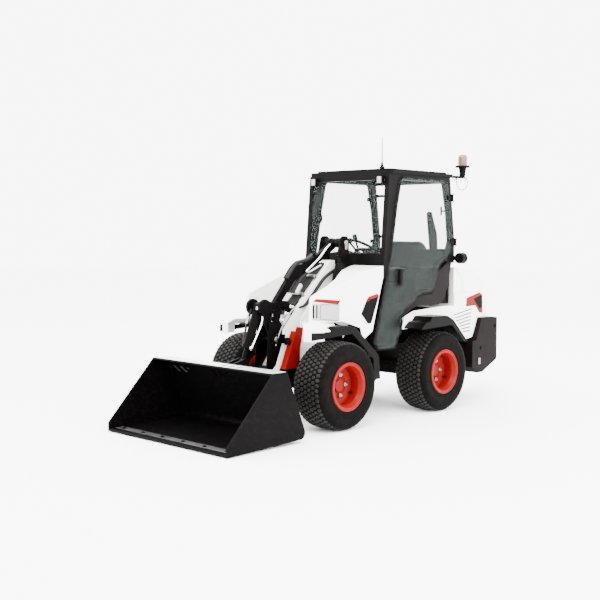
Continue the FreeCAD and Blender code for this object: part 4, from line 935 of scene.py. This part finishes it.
@dataclass
class Linkage:
    """Lines, couplers, clamps and pin caps of the boom."""

    half: float = 60.0

    def pins(self) -> None:
        """Keeper plates and bolts on the pin ends."""
        form = Form()
        for y, z in ((-240, 661),):
            for out in (1, -1):
                form.bolt(at(out * 79.5, y, z), Vector((out, 0, 0)), 0.014, 0.008)
        form.piece("rocker_caps", ZINC, Body.ROCKER, slot="chrome")
        tower = Form()
        for y, z in ((447, 1141), (500, 1385), (300, 452)):
            tower.bolt(at(124, y, z), Vector((1, 0, 0)), 0.014, 0.008)
            tower.box(at(121, y + 4, z - 32), (0.006, 0.026, 0.044))
            tower.bolt(at(124, y + 4, z - 44), Vector((1, 0, 0)), 0.006, 0.005)
        tower.both().piece("tower_pin_keepers", ZINC, Body.FRONT, 0.001, slot="chrome")

    def couplers(self) -> None:
        """Bank of quick couplers on the boom's knee."""
        block = Form()
        block.box(at(0, -60, 872), (0.110, 0.150, 0.060), Matrix.Rotation(math.radians(-42), 3, "X"))
        block.box(at(0, 10, 880), (0.090, 0.050, 0.130), Matrix.Rotation(math.radians(-42), 3, "X"))
        block.piece("coupler_block", STEEL_BLACK, Body.BOOM, 0.004, slot="chrome")
        bank = Form()
        caps = Form()
        for row, (y, z) in enumerate(((-39, 893), (-92, 844), (-142, 798))):
            for k in range(3):
                foot = at(-36 + k * 38, y, z)
                ahead = Vector((0.12 * (k - 1), -0.93, 0.20)).normalized()
                profile = [(0.010, 0.0), (0.016, 0.004), (0.016, 0.018), (0.0125, 0.021), (0.0125, 0.026),
                           (0.0175, 0.029),
                           (0.0175, 0.048), (0.0145, 0.051), (0.0145, 0.060), (0.0105, 0.060), (0.0105,
                               0.050)]
                bank.lathe(foot - ahead * 0.02, ahead, profile, 20)
                if (row + k) % 2:
                    caps.lathe(foot + ahead * 0.061, ahead, [(0.0165, -0.006), (0.0165, 0.010),
                        (0.012, 0.013)], 20)
        bank.piece("quick_couplers", CHROME, Body.BOOM, slot="chrome")
        caps.piece("coupler_caps", HOSE, Body.BOOM, slot="cab_plastic")

    def lines(self) -> None:
        """Metal lines clamped along the boom's top and sides."""
        dark = Form()
        for x, lift in ((-47, 0), (-26, 3), (-5, 0), (16, 3), (37, 0)):
            path = [at(x, 330, 1222 + lift), at(x, 200, 1108 + lift), at(x, 60, 966 + lift),
                    at(x, -10, 905 + lift)]
            dark.tube(smooth_path(path), 0.0095, 12)
        for x in (66, 84):
            path = [at(x, 470, 1190), at(x, 300, 1120), at(x, 170, 985), at(x, 80, 900), at(x * 0.6, 20, 885)]
            dark.tube(smooth_path(path), 0.0085, 12)
        dark.piece("boom_lines", HOSE, Body.BOOM, slot="black_steel")
        bright = Form()
        path = [at(72, -20, 900), at(84, -90, 860), at(84, -150, 800), at(70, -200, 700), at(66, -232, 610)]
        bright.tube(smooth_path(path), 0.006, 10)
        bright.both().piece("boom_side_lines", ZINC, Body.BOOM, slot="chrome")
        clamp = Form()
        for y, z in ((210, 1120), (75, 985)):
            turn = Matrix.Rotation(math.radians(45), 3, "X")
            clamp.box(at(0, y, z), (0.118, 0.022, 0.034), turn)
            clamp.bolt(at(0, y - 11, z + 12), Vector((0, -0.7, 0.7)), 0.007, 0.005)
        clamp.piece("line_clamps", ZINC, Body.BOOM, 0.002, slot="chrome")

    def tilt_lines(self) -> None:
        """Bright feed line and dark hose along the tilt cylinder, with their ports."""
        form = Form()
        path = [at(45, -393, 900), at(45, -355, 893), at(45, -349, 851), at(45, -360, 780), at(45, -462, 608)]
        form.tube(smooth_path(path), 0.0075, 10)
        form.bolt(at(44, -462, 608), Vector((1, 0, 0)), 0.013, 0.012)
        form.bolt(at(38, -393, 900), Vector((1, 0, 0)), 0.013, 0.012)
        form.piece("tilt_line", CHROME, Body.TILT_BARREL, slot="chrome")
        dark = Form()
        path = [at(-44, -380, 890), at(-50, -400, 840), at(-50, -430, 760), at(-44, -462, 640)]
        dark.tube(smooth_path(path), 0.0085, 10)
        dark.piece("tilt_hose", HOSE, Body.TILT_BARREL, slot="cab_plastic")
        ends = Form()
        ends.tube([at(-50, -404, 836), at(-50, -422, 782)], 0.0125, 12)
        ends.piece("tilt_hose_fitting", ZINC, Body.TILT_BARREL, slot="chrome")

    def nose(self) -> None:
        """Black cheek plates, grey cover and yellow wire at the boom's turned-down nose."""
        cheek = Form()
        outline = [(-300, 790), (-200, 800), (-157, 762), (-166, 614), (-229, 462), (-300, 400), (-335, 420),
                   (-327, 470),
                   (-316, 600)]
        cheek.slab([at(self.half + 0.5, *p) for p in outline], Vector((0.005, 0, 0)))
        cheek.slab([at(self.half + 0.5, *p) for p in ((-157, 762), (-148, 753), (-40, 858), (-60, 842),
                                                      (-156, 730))],
                   Vector((0.003, 0, 0)))
        cheek.box(at(65.5, -190, 658), (0.0145, 0.110, 0.068))
        cheek.lathe(at(58.5, -240, 661), Vector((1, 0, 0)), [(0.0335, 0.0), (0.0335, 0.0135),
            (0.024, 0.0145)], 32)
        cheek.both().piece("boom_cheeks", STEEL_BLACK, Body.BOOM, 0.0012, slot="black_steel")
        front = [(-151, 744), (-172, 640), (-290, 470), (-430, 320), (-454, 212)]
        face = Form()
        outer = [(y - 1.8, z + 1.3) for y, z in front]
        face.slab([at(-self.half + 1, *p) for p in front + outer[::-1]], Vector((0.118, 0, 0)))
        face.piece("boom_face", STEEL_BLACK, Body.BOOM, slot="black_steel")
        cover = Form()
        cover.slab([at(-4, *p) for p in ((-214, 584), (-300, 462), (-304, 465), (-218, 587))],
                   Vector((0.052, 0, 0)))
        cover.piece("boom_cover", GREY, Body.BOOM, 0.001, slot="white_panel")
        wire = Form()
        wire.tube(smooth_path([at(20, -190, 632), at(26, -232, 592), at(18, -262, 540), at(24, -292, 492)]),
                  0.004, 8)
        wire.piece("boom_wire", YELLOW, Body.BOOM, slot="cab_plastic")

    def link_line(self) -> None:
        """Bright line bent along the levelling link, with its clamps."""
        form = Form()
        path = [at(40, 400, 1372), at(40, 363, 1349), at(40, 290, 1275), at(40, 122, 1162), at(40, 157, 1157),
                at(40, 291, 1208)]
        form.tube(smooth_path(path), 0.0075, 10)
        form.piece("link_line", CHROME, Body.LINK, slot="chrome")
        clip = Form()
        for y, z in ((380, 1362), (230, 1292)):
            clip.box(at(29, y, z), (0.014, 0.024, 0.030), Matrix.Rotation(math.radians(25), 3, "X"))
        clip.piece("link_clips", STEEL_BLACK, Body.LINK, 0.002, slot="black_steel")

    def link_hoses(self) -> None:
        """Thick hoses bundled over and under the levelling link's elbow."""
        form = Form()
        for x in (-27, 0, 27):
            path = [at(x, 205, 1196), at(x, 150, 1152), at(x, 95, 1116), at(x, 50, 1074), at(x, 12, 1030),
                    at(x, -8, 1004)]
            form.tube(smooth_path(path), 0.014, 12)
        for x in (-12, 12):
            path = [at(x, 250, 1290), at(x, 150, 1246), at(x, 60, 1234), at(x, -4, 1184), at(x, -60, 1112)]
            form.tube(smooth_path(path), 0.013, 12)
        form.piece("link_hoses", HOSE, Body.LINK, slot="cab_plastic")
        roller = Form()
        axis = Vector((0.0, 0.62, 0.78)).normalized()
        roller.lathe(at(34, 20, 1000), axis, [(0.012, -0.01), (0.021, -0.002), (0.021, 0.074),
                                              (0.012, 0.082)], 24)
        roller.piece("link_canister", PALE, Body.LINK, slot="white_panel")

    def support_knob(self) -> None:
        """Black knob of the boom support."""
        form = Form()
        profile = [(0.012, 0.030), (0.0225, 0.026), (0.0275, 0.018), (0.0295, 0.008), (0.0275, -0.002),
                   (0.020, -0.008),
                   (0.0, -0.010)]
        form.lathe(at(132, -182, 645), Vector((0, 1, 0)), profile, 32)
        form.piece("support_knob", CAB_PLASTIC, Body.FRONT, slot="cab_plastic")

    def horn(self) -> None:
        """Horn that hangs at the tower's left side."""
        form = Form()
        form.box(at(118, 400, 1252), (0.012, 0.044, 0.070))
        form.tube(smooth_path([at(124, 396, 1262), at(152, 388, 1256), at(165, 380, 1222)]), 0.015, 12)
        bell = [(0.018, 0.070), (0.034, 0.062), (0.040, 0.030), (0.044, 0.0), (0.054, -0.030),
                (0.058, -0.046),
                (0.054, -0.048), (0.036, -0.030)]
        form.lathe(at(165, 378, 1157), Vector((0, 0, 1)), bell, 32)
        form.piece("horn", CAB_PLASTIC, Body.FRONT, 0.001, slot="cab_plastic")

    def build(self) -> None:
        """Make all the trim."""
        self.pins()
        self.couplers()
        self.lines()
        self.tilt_lines()
        self.nose()
        self.link_line()
        self.link_hoses()
        self.support_knob()
        self.horn()


# ---- front body --------------------------------------------------------------------------------
@dataclass
class CowlTrim:
    """Stripe, head lamps and vents of the cowl."""

    stripe: list[Point] = field(default_factory=lambda: [(-134, 953), (-108, 974), (96, 957), (76, 926)])
    panel: list[Sequence[float]] = field(default_factory=lambda: [
        (-72, 930, 14), (78, 922, 14), (76, 806, 14), (-72, 822, 14)])
    vent: list[Sequence[float]] = field(default_factory=lambda: [
        (534, 989, 14), (547, 973, 10), (456, 762, 14), (416, 760, 14), (333, 843, 14), (401, 955, 24)])
    cap: list[Point] = field(default_factory=lambda: [(398, 950), (420, 972), (520, 992), (538, 984),
                                                      (530, 968), (430, 944), (402, 930)])

    def pair(self, name: str, outline: Sequence[Point], lift: float, finish: Finish, slot: str,
             cuts: int = 3) -> None:
        """Lay the same plate on both flanks.

        Args:
            name: Name of the piece.
            outline: Its corners.
            lift: Height over the surface.
            finish: Its finish.
            slot: Material slot name, passed on to the piece.
            cuts: Cuts along each triangle's edge.
        """
        form = self.skin.patch(outline, lift, cuts=cuts).both()
        form.piece(name, finish, Body.FRONT, slot=slot)

    def build(self) -> None:
        """Make the trim."""
        self.skin = Skin("cowl")
        self.pair("cowl_stripes", self.stripe, 0.0014, RED, "red_paint")
        frame_line = [(-138, 942), (88, 932), (84, 796), (-136, 814)]
        self.pair("headlight_recess", frame_line, 0.0008, PALE, "white_panel")
        # The dark strip beside the lamp and the dark ring round its lens are painted shade in the gaps.
        strips = ((-134, -122, SHADE_BLACK, "cab_plastic"), (-107, -95, GREEN_DARK, "cab_plastic"))
        for k, (y0, y1, finish, slot) in enumerate(strips):
            outline = [(y0, 928), (y1, 928), (y1, 828), (y0, 828)]
            self.pair(f"headlight_strip_{k}", outline, 0.003, finish, slot, cuts=1)
        self.pair("headlight_groove_shade", rounded_outline([(-75, 933, 16), (81, 925, 16), (79, 803, 16),
                                                       (-75, 819, 16)]), 0.0022, SHADE_BLACK, "cab_plastic", 1)
        self.pair("headlight_lens", rounded_outline(self.panel), 0.0042, LAMP, "lamp", 1)
        self.pair("cowl_vents", rounded_outline(self.vent), 0.0016, CAB_PLASTIC, "cab_plastic", 1)
        self.pair("vent_caps", self.cap, 0.0030, RED, "red_paint", 1)
        # Dark lines across each vent: painted shade in the gaps between its slats.
        vent_shade = Form()
        for k in range(11):
            z = 778 + k * 17
            left = 333 + max(0.0, (z - 843)) * 0.6 if z > 843 else 416 - (z - 760) * 1.0
            right = 462 + (z - 775) * 0.42
            vent_shade.join(self.skin.patch([(left + 6, z), (right - 4, z + 4), (right - 4, z + 8),
                                       (left + 6, z + 4)], 0.0034, 0.002, 0))
        vent_shade.both().piece("vent_gap_shade", SHADE_BLACK, Body.FRONT, slot="cab_plastic")


@dataclass
class Cab:
    """Seals, lamps' lenses, handles, dash and door trim of the cab."""

    door: list[Sequence[float]] = field(default_factory=lambda: [
        (483, 600, 25), (545, 541, 25), (750, 539, 30), (803, 655, 40), (846, 812, 60), (1085, 964, 60),
        (1252, 967, 50), (1296, 1090, 100), (1345, 1205, 90), (1470, 1252, 60), (1532, 1400, 60), (1506, 1640,
            100),
        (1440, 1922, 80), (800, 1922, 70), (742, 1682, 200), (676, 1300, 200), (621, 1065, 200)])
    rim: float = 13.0

    def door_edges(self) -> None:
        """Dark printed border round each door pane."""
        outline = [Vector(p) for p in rounded_outline(self.door)]
        middle = sum(outline, Vector((0, 0))) / len(outline)
        for side, out in (("left", 1.0), ("right", -1.0)):
            low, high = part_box(f"door_glass_{side}")
            face = (high.x if out > 0 else -low.x) * 1000.0
            form = Form()
            count = len(outline)
            rings = []
            for i, p in enumerate(outline):
                along = (outline[(i + 1) % count] - outline[i - 1]).normalized()
                inward = Vector((-along.y, along.x))
                if inward.dot(middle - p) < 0:
                    inward = -inward
                q = p + inward * self.rim
                o = p + inward * 1.0
                rings.append([at(face * out + d * out, *s) for d,
                              s in ((0.3, o), (1.9, o + inward), (1.9, q - inward), (0.3, q))])
            form.loft(rings, loop=True)
            form.piece(f"door_border_{side}", SEAL, f"door_{side}", slot="cab_plastic")

    def lamp_lenses(self) -> None:
        """Square work lamp lenses, round rear lamps and bezels."""
        glass = Form()
        bezel = Form()
        low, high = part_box("lamps")
        x = 430.0 - 74.0
        y = (low.y - FRONT_AXLE_Y) * 1000.0
        for out in (1,):
            z = 1887
            glass.box(at(out * x, y - 1.0, z), (0.044, 0.004, 0.052))
            for dx, dz, w, h in ((0, 28, 0.052, 0.005), (0, -28, 0.052, 0.005), (24, 0, 0.005, 0.060),
                                 (-24, 0, 0.005, 0.060)):
                bezel.box(at(out * x + dx, y - 1.0, z + dz), (w, 0.008, h))
        z = 1256
        rear = Form().lathe(at(474, 1622, z), Vector((0, 1, 0)),
                            [(0.040, -0.004), (0.040, 0.0), (0.036, 0.0035), (0.0, 0.005)], 36)
        ring = Form().lathe(at(474, 1616, z), Vector((0, 1, 0)),
                            [(0.0462, -0.01), (0.0475, -0.004), (0.0475, 0.006), (0.043, 0.009),
                                                                  (0.0405, 0.006), (0.0405, -0.004)], 36)
        glass.both().piece("work_lamp_lenses", LAMP, Body.FRONT, 0.001, slot="lamp")
        bezel.join(ring).both().piece("lamp_bezels", CAB_PLASTIC, Body.FRONT, 0.001, slot="cab_plastic")
        rear.both().piece("rear_lamp_lenses", Lens("rear_lens", (0.62, 0.60, 0.58), 0.15, grain=90.0,
                                                   edge=0.001, glow=0.02),
                          Body.FRONT, slot="lamp")

    def clips(self) -> None:
        """Window clips, grab handle and mirror."""
        form = Form()
        for z, length in ((1757, 62), (1438, 34)):
            form.box(at(388 - length / 2, 640, z), (length / 1000.0, 0.016, 0.020))
            form.lathe(at(388 - length, 640, z), Vector((0, 1, 0)),
                       [(0.013, -0.010), (0.013, 0.010), (0.010, 0.012)], 20)
        form.tube(smooth_path([at(-372, 700, 1640), at(-372, 738, 1632), at(-372, 752, 1590),
                               at(-372, 738, 1552), at(-372, 700, 1545)]), 0.007, 12)
        form.box(at(-380, 708, 1592), (0.012, 0.030, 0.040))
        form.box(at(0, 700, 1902), (0.150, 0.026, 0.040))
        form.tube([at(0, 700, 1925), at(0, 700, 1945)], 0.006, 10)
        form.piece("cab_clips", CAB_PLASTIC, Body.FRONT, 0.002, slot="cab_plastic")
        handle = Form()
        handle.tube(smooth_path([at(372, 1500, 1655), at(372, 1462, 1655), at(372, 1440, 1655)]), 0.007, 12)
        handle.tube([at(372, 1438, 1618), at(372, 1436, 1694)], 0.008, 12)
        handle.piece("rear_post_handle", CAB_PLASTIC, Body.FRONT, slot="cab_plastic")

    def dash(self) -> None:
        """Dash cowl with gauge, key and levers."""
        form = Form()
        profile = [(652, 1296), (652, 1200), (700, 1188), (752, 1240), (740, 1296), (700, 1312)]
        form.slab([at(-190, *p) for p in profile], Vector((0.38, 0, 0)))
        form.piece("dash", CAB_PLASTIC, Body.FRONT, 0.006, slot="cab_plastic")
        dial = Form()
        for x, r in ((0, 0.034), (-90, 0.022), (90, 0.022)):
            dial.lathe(at(x, 728, 1304), Vector((0, 0.5, 0.86)),
                       [(r, -0.004), (r, 0.003), (r * 0.86, 0.004), (r * 0.80, 0.001)], 28)
        dial.piece("dash_dials", CHROME, Body.FRONT, slot="chrome")
        stalk = Form()
        stalk.tube(smooth_path([at(40, 772, 1282), at(110, 780, 1294), at(170, 790, 1306)]), 0.006, 10)
        stalk.lathe(at(168, 789, 1305), Vector((1, 0.1, 0.15)),
                    [(0.006, 0.0), (0.010, 0.006), (0.010, 0.024), (0.006, 0.030)], 14)
        stalk.lathe(at(-118, 838, 1412), Vector((0, 0.5, 0.866)),
                    [(0.010, -0.034), (0.019, -0.028), (0.022, -0.008), (0.018, 0.004), (0.008, 0.008)], 20)
        stalk.piece("steering_stalk", CAB_PLASTIC, Body.FRONT, slot="cab_plastic")

    def seat(self) -> None:
        """Cushion and backrest, puffed from their plain solids and stitched."""
        for node, fill, puff in (("seat_cushion", 0.75, 0.011), ("seat_back", 0.7, 0.011)):
            obj = padded_copy(node, puff)
        pipe = Form()
        low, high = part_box("seat_cushion")
        z = high.z - 0.032
        corners = [Vector((low.x + 0.004, low.y + 0.012, z - 0.02)),
                   Vector((high.x - 0.004, low.y + 0.012, z - 0.02)),
                   Vector((high.x - 0.004, high.y - 0.02, z)), Vector((low.x + 0.004, high.y - 0.02, z))]
        pipe.tube(smooth_path([corners[3], corners[0], corners[1], corners[2]]), 0.004, 8)
        pipe.piece("seat_piping", SEAL, Body.FRONT, slot="seat_vinyl")

    def roof(self) -> None:
        """Rubber foot of the antenna."""
        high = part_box("cab_roof")[1]
        foot = Form()
        a_low, a_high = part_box("antenna")
        spot = Vector(((a_low.x + a_high.x) / 2, (a_low.y + a_high.y) / 2, high.z))
        foot.lathe(spot, Vector((0, 0, 1)), [(0.022, 0.0), (0.021, 0.008), (0.012, 0.020), (0.008, 0.046),
                                             (0.005, 0.050)], 24)
        foot.piece("antenna_foot", SEAL, Body.FRONT, slot="cab_plastic")

    def build(self) -> None:
        """Make the cab's trim."""
        self.door_edges()
        self.lamp_lenses()
        self.clips()
        self.dash()
        self.seat()
        self.roof()


def padded_copy(node: str, puff: float) -> bpy.types.Object:
    """Cushion made from a plain solid by a short cloth run under pressure.

    Args:
        node: The CAD node that gives the outline.
        puff: Most that a point may move, in metres.

    Returns:
        The cushion.
    """
    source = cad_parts[node]
    form = Form()
    middle = sum((v.co for v in source.data.vertices), Vector()) / len(source.data.vertices)
    form.verts = [middle + (v.co - middle) * 0.975 for v in source.data.vertices]
    form.faces = [tuple(p.vertices) for p in source.data.polygons]
    obj = form.piece(f"{node}_pad", VINYL, Body.FRONT, replaces=(node,), slot="seat_vinyl")
    remesh = obj.modifiers.new("voxels", "REMESH")
    remesh.mode = "VOXEL"
    remesh.voxel_size = 0.007
    remesh.use_smooth_shade = True
    settle(obj)
    rest = [v.co.copy() for v in obj.data.vertices]
    cloth = obj.modifiers.new("pressure", "CLOTH")
    cloth.settings.use_pressure = True
    cloth.settings.uniform_pressure_force = 4.0
    cloth.settings.effector_weights.gravity = 0.0
    cloth.point_cache.frame_start = 1
    cloth.point_cache.frame_end = 20
    for step in range(1, 21):
        bpy.context.scene.frame_set(step)
    settle(obj)
    bpy.context.scene.frame_set(1)
    for v, start in zip(obj.data.vertices, rest):
        move = v.co - start
        if move.length > puff:
            v.co = start + move.normalized() * puff
    low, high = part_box(node)
    span = high - low
    for v in obj.data.vertices:
        across = (v.co.x - (low.x + high.x) / 2) / (span.x / 2)
        for line in (-0.42, 0.42):
            v.co.z -= 0.004 * math.exp(-((across - line) / 0.035) ** 2) if node == "seat_cushion" else 0.0
    smooth = obj.modifiers.new("smooth", "SUBSURF")
    smooth.levels = 1
    settle(obj)
    obj.data.polygons.foreach_set("use_smooth", [True] * len(obj.data.polygons))
    obj.data.materials.clear()
    obj.data.materials.append(VINYL.material())
    return obj


@dataclass
class Beacon:
    """Ribbed amber dome, its collar and its slack lead."""

    place: tuple[float, float] = (395.0, 1710.0)
    radius: float = 0.042
    route: list[tuple[float, float, float]] = field(default_factory=lambda: [
        (0, 21.4, 0), (0, 50, 0), (0, 72, -22), (0, 78, -54), (-2, 62, -84), (-5, 32, -104), (-8, -4, -108),
        (-12, -38, -96), (-16, -60, -68), (-17.4, -66, -36), (-17.4, -66, -9)])

    def lead(self) -> None:
        """The lead's loop, held at the stem and at the bracket's arm."""
        x, y = self.place
        spots = [at(x + dx, y + dy, 1950.0 + dz) for dx, dy, dz in self.route]
        curve = bpy.data.curves.new("beacon_lead_loop", "CURVE")
        curve.dimensions = "3D"
        spline = curve.splines.new("NURBS")
        spline.points.add(len(spots) - 1)
        for point, spot in zip(spline.points, spots):
            point.co = (*spot, 1.0)
        spline.order_u = 3
        spline.use_endpoint_u = True
        spline.resolution_u = 8
        curve.bevel_depth = 0.0035
        curve.bevel_resolution = 4
        curve.use_fill_caps = True
        obj = bpy.data.objects.new("beacon_lead_loop", curve)
        bpy.context.scene.collection.objects.link(obj)
        curve.materials.append(HOSE.material())
        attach(obj, "front")
        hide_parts("beacon_lead")
        gland = Form()
        gland.lathe(spots[0] - Vector((0, 0.004, 0)), Vector((0, 1, 0)),
                    [(0.007, 0.0), (0.007, 0.008), (0.005, 0.018), (0.0042, 0.026)], 16)
        gland.lathe(spots[-1] + Vector((0, 0, 0.004)), Vector((0, 0, -1)),
                    [(0.006, 0.0), (0.006, 0.010), (0.0042, 0.022)], 16)
        gland.piece("lead_glands", SEAL, Body.FRONT, slot="cab_plastic")

    def build(self) -> None:
        """Make the beacon's trim."""
        self.lead()
        low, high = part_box("beacon_lens")
        centre = Vector(((low.x + high.x) / 2, (low.y + high.y) / 2, low.z))
        tall = high.z - low.z
        profile = [(self.radius, 0.0)]
        for k in range(9):
            z = tall * (0.06 + 0.078 * k)
            profile += [(self.radius - 0.0004, z), (self.radius - 0.0022, z + tall * 0.02),
                        (self.radius - 0.0004, z + tall * 0.045)]
        profile += [(self.radius - 0.003, tall * 0.84), (self.radius - 0.008, tall * 0.93),
                    (self.radius - 0.018, tall * 0.985), (0.001, tall)]
        Form().lathe(centre, Vector((0, 0, 1)), profile, 48).piece("beacon_dome", AMBER, Body.FRONT,
            replaces=("beacon_lens",), slot="amber_lens")
        core = Form()
        base_low, base_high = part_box("beacon_base")
        ring = [(self.radius + 0.021, -0.010), (self.radius + 0.021, -0.004), (self.radius + 0.012, 0.0005),
                (self.radius + 0.001, 0.0012)]
        core.lathe(Vector((centre.x, centre.y, base_high.z)), Vector((0, 0, 1)), ring, 48)
        core.lathe(Vector((centre.x, centre.y, base_high.z - 0.085)), Vector((0, 0, 1)),
                   [(0.026, 0.0), (0.0275, 0.004), (0.0275, 0.012), (0.026, 0.016)], 32)
        core.piece("beacon_collar", CAB_PLASTIC, Body.FRONT, slot="cab_plastic")


# ---- rear body ---------------------------------------------------------------------------------
@dataclass
class RearTrim:
    """Slots, crease and recesses drawn as painted shade, coloured flash, reflectors and bolts of the rear."""

    flash: list[Point] = field(default_factory=lambda: [
        (1752, 905), (1996, 958), (2006, 762), (1952, 768), (1886, 836), (1746, 829)])
    flash_dark: list[Point] = field(default_factory=lambda: [(1862, 893), (1992, 926), (1996, 812),
        (1952, 806), (1900, 862)])
    slot_left: tuple[Point, Point] = ((1556, 764), (1712, 603))
    slot_right: tuple[Point, Point] = ((1832, 807), (1806, 606))
    slots: int = 7

    def slot_shade(self) -> Form:
        """Slanted slots drawn as dark patches of painted shade, shorter towards the bottom."""
        form = Form()
        for k in range(self.slots):
            t = k / (self.slots - 0.6)
            left = [a + (b - a) * t for a, b in zip(*self.slot_left)]
            right = [a + (b - a) * t for a, b in zip(*self.slot_right)]
            outline = [(left[0], left[1] - 5), (right[0], right[1] - 5), (right[0] + 3, right[1] + 5),
                       (left[0] + 3, left[1] + 5)]
            form.join(self.skin.patch(outline, 0.0012, cuts=2))
        return form

    def build(self) -> None:
        """Make the trim."""
        self.skin = Skin("rear_body", "hood")
        self.slot_shade().both().piece("rear_slot_shade", SHADE_BLACK, Body.REAR, slot="cab_plastic")
        self.skin.patch(self.flash, 0.0014, cuts=4).both().piece("flash_red", RED, Body.REAR,
            slot="red_paint")
        self.skin.patch(self.flash_dark, 0.0026, cuts=3).both().piece("flash_dark", WEIGHT_BLACK, Body.REAR,
            slot="black_steel")
        # Grey line along the hood's fold: painted shade of the crease.
        crease_shade = Form()
        line = [(1562, 1167), (1600, 1158), (1670, 1094), (1712, 985), (1716, 962)]
        for (y0, z0), (y1, z1) in zip(line, line[1:]):
            across = Vector((z1 - z0, -(y1 - y0))).normalized() * 1.6
            crease_shade.join(Skin("hood").patch([(y0 - across.x, z0 - across.y), (y1 - across.x, z1 - across.y),
                                            (y1 + across.x, z1 + across.y), (y0 + across.x,
                                                z0 + across.y)], 0.0012, 0.001, 2))
        crease_shade.both().piece("hood_crease_shade", Finish("painted_crease_shade", (0.25, 0.25, 0.25), 0.6, edge=0.0),
                            Body.HOOD, slot="white_panel")
        weight = Skin("counterweight")
        bolts = Form()
        # Dark discs round the bolts: painted shade in the recesses they sit in.
        hole_shade = Form()
        for y, z in ((2146, 642), (1923, 459)):
            hit = weight.tree.ray_cast(Vector((0.9, FRONT_AXLE_Y + y / 1000, z / 1000)), Vector((-1, 0, 0)),
                                       0.8)[0]
            spot = hit or at(470, y, z)
            hole_shade.lathe(spot, Vector((1, 0, 0)), [(0.017, -0.001), (0.017, 0.0015), (0.013, 0.002)], 24)
            bolts.bolt(spot + Vector((0.0015, 0, 0)), Vector((1, 0, 0)), 0.009, 0.005)
        hole_shade.both().piece("weight_recess_shade", SHADE_BLACK, Body.REAR, slot="black_steel")
        bolts.both().piece("weight_bolts", STEEL_BLACK, Body.REAR, slot="black_steel")
        # The reflectors take the amber lens finish and its glow: a painted glow on a part that is no lamp.
        reflector = weight.patch([(1880, 318), (1912, 318), (1912, 372), (1880, 372)], 0.004, 0.004, 1)
        reflector.both().piece("side_reflectors", AMBER, Body.REAR, slot="amber_lens")
        tail = Form()
        low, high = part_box("counterweight")
        for x in (-300, 300):
            tail.box(Vector((x / 1000.0, high.y - 0.0005, 0.60)), (0.150, 0.010, 0.062))
        tail.piece("tail_lamps", Lens("tail_lens", (0.60, 0.02, 0.01), 0.15, grain=40.0, edge=0.001,
                                      glow=0.05), Body.REAR, 0.003, slot="lamp")
        plate = Form().box(Vector((0, high.y - 0.0005, 0.585)), (0.180, 0.006, 0.090))
        plate.piece("blank_plate", PALE, Body.REAR, 0.002, slot="white_panel")


# ---- studio ------------------------------------------------------------------------------------
@dataclass
class Studio:
    """Camera, pale floor and soft lights."""

    place: tuple[float, float, float] = (5442.19, -5579.89, 1454.39)
    yaw: float = 43.28
    pitch: float = 3.07
    roll: float = 0.32
    lens: float = 60.53
    shift: Point = (-0.0147, -0.0198)

    def camera(self) -> None:
        """Camera at the viewing place, made the scene's own."""
        a, p, r = (math.radians(v) for v in (self.yaw, self.pitch, self.roll))
        ahead = Vector((-math.sin(a) * math.cos(p), math.cos(a) * math.cos(p), -math.sin(p)))
        right = Vector((math.cos(a), math.sin(a), 0.0))
        up = right.cross(ahead)
        right, up = right * math.cos(r) + up * math.sin(r), up * math.cos(r) - right * math.sin(r)
        data = bpy.data.cameras.new("camera")
        data.lens = self.lens
        data.sensor_width = 36.0
        data.shift_x, data.shift_y = self.shift
        data.clip_end = 60.0
        obj = bpy.data.objects.new("camera", data)
        obj.matrix_world = Matrix.Translation(at(*self.place)) @ Matrix((right, up,
            -ahead)).transposed().to_4x4()
        bpy.context.scene.collection.objects.link(obj)
        bpy.context.scene.camera = obj

    def floor(self) -> None:
        """Large pale floor."""
        mesh = bpy.data.meshes.new("studio_floor")
        size = 30.0
        mesh.from_pydata([(-size, -size, 0), (size, -size, 0), (size, size, 0), (-size, size, 0)], [],
                         [(0, 1, 2, 3)])
        obj = bpy.data.objects.new("studio_floor", mesh)
        bpy.context.scene.collection.objects.link(obj)
        recipe = Recipe("floor_paper")
        tone = recipe.mix((0.97, 0.97, 0.97), (0.95, 0.95, 0.95), recipe.noise(0.8))
        recipe.surface(Base_Color=tone, Roughness=0.75, Specular_IOR_Level=0.2)
        mesh.materials.append(recipe.material)

    def light(self, name: str, place: Vector, target: Vector, size: float, power: float) -> None:
        """Square soft light.

        Args:
            name: The light's name.
            place: Where it stands.
            target: What it points at.
            size: Edge length in metres.
            power: Watts.
        """
        data = bpy.data.lights.new(name, "AREA")
        data.shape = "SQUARE"
        data.size = size
        data.energy = power
        obj = bpy.data.objects.new(name, data)
        obj.location = place
        obj.rotation_euler = (target - place).to_track_quat("-Z", "Y").to_euler()
        bpy.context.scene.collection.objects.link(obj)

    def build(self) -> None:
        """Set up the studio."""
        self.camera()
        self.floor()
        world = bpy.data.worlds.new("studio_world")
        world.use_nodes = True
        back = world.node_tree.nodes["Background"]
        back.inputs[0].default_value = (1.0, 1.0, 1.0, 1.0)
        back.inputs[1].default_value = 8.0
        bpy.context.scene.world = world
        aim = Vector((0, 0.3, 0.9))
        self.light("key_light", Vector((2.5, -3.5, 6.5)), aim, 4.0, 1000.0)
        self.light("side_light", Vector((6.0, 1.5, 3.0)), aim, 3.0, 250.0)
        self.light("rear_light", Vector((-4.0, 5.0, 5.0)), aim, 4.0, 350.0)
        log.info("studio ready")


def dress_nodes() -> None:
    """Give every CAD node its finish."""
    for name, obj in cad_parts.items():
        finish = NODE_FINISH.get(name)
        if finish is None:
            finish = next(f for key, f in NODE_FINISH.items() if name.startswith(key))
        obj.data.materials.clear()
        obj.data.materials.append(finish.material())
        log.info("%s: %s", name, finish.name)


def main() -> None:
    """Build the studio and every sub-assembly."""
    logging.basicConfig(level=logging.INFO, format="%(name)s: %(message)s")
    Studio().build()
    dress_nodes()
    for part in (Beacon(), Wheels(), BucketTrim(), Linkage(), CowlTrim(), Cab(), RearTrim()):
        part.build()
        log.info("%s done", type(part).__name__)


if __name__ == "__main__":
    main()
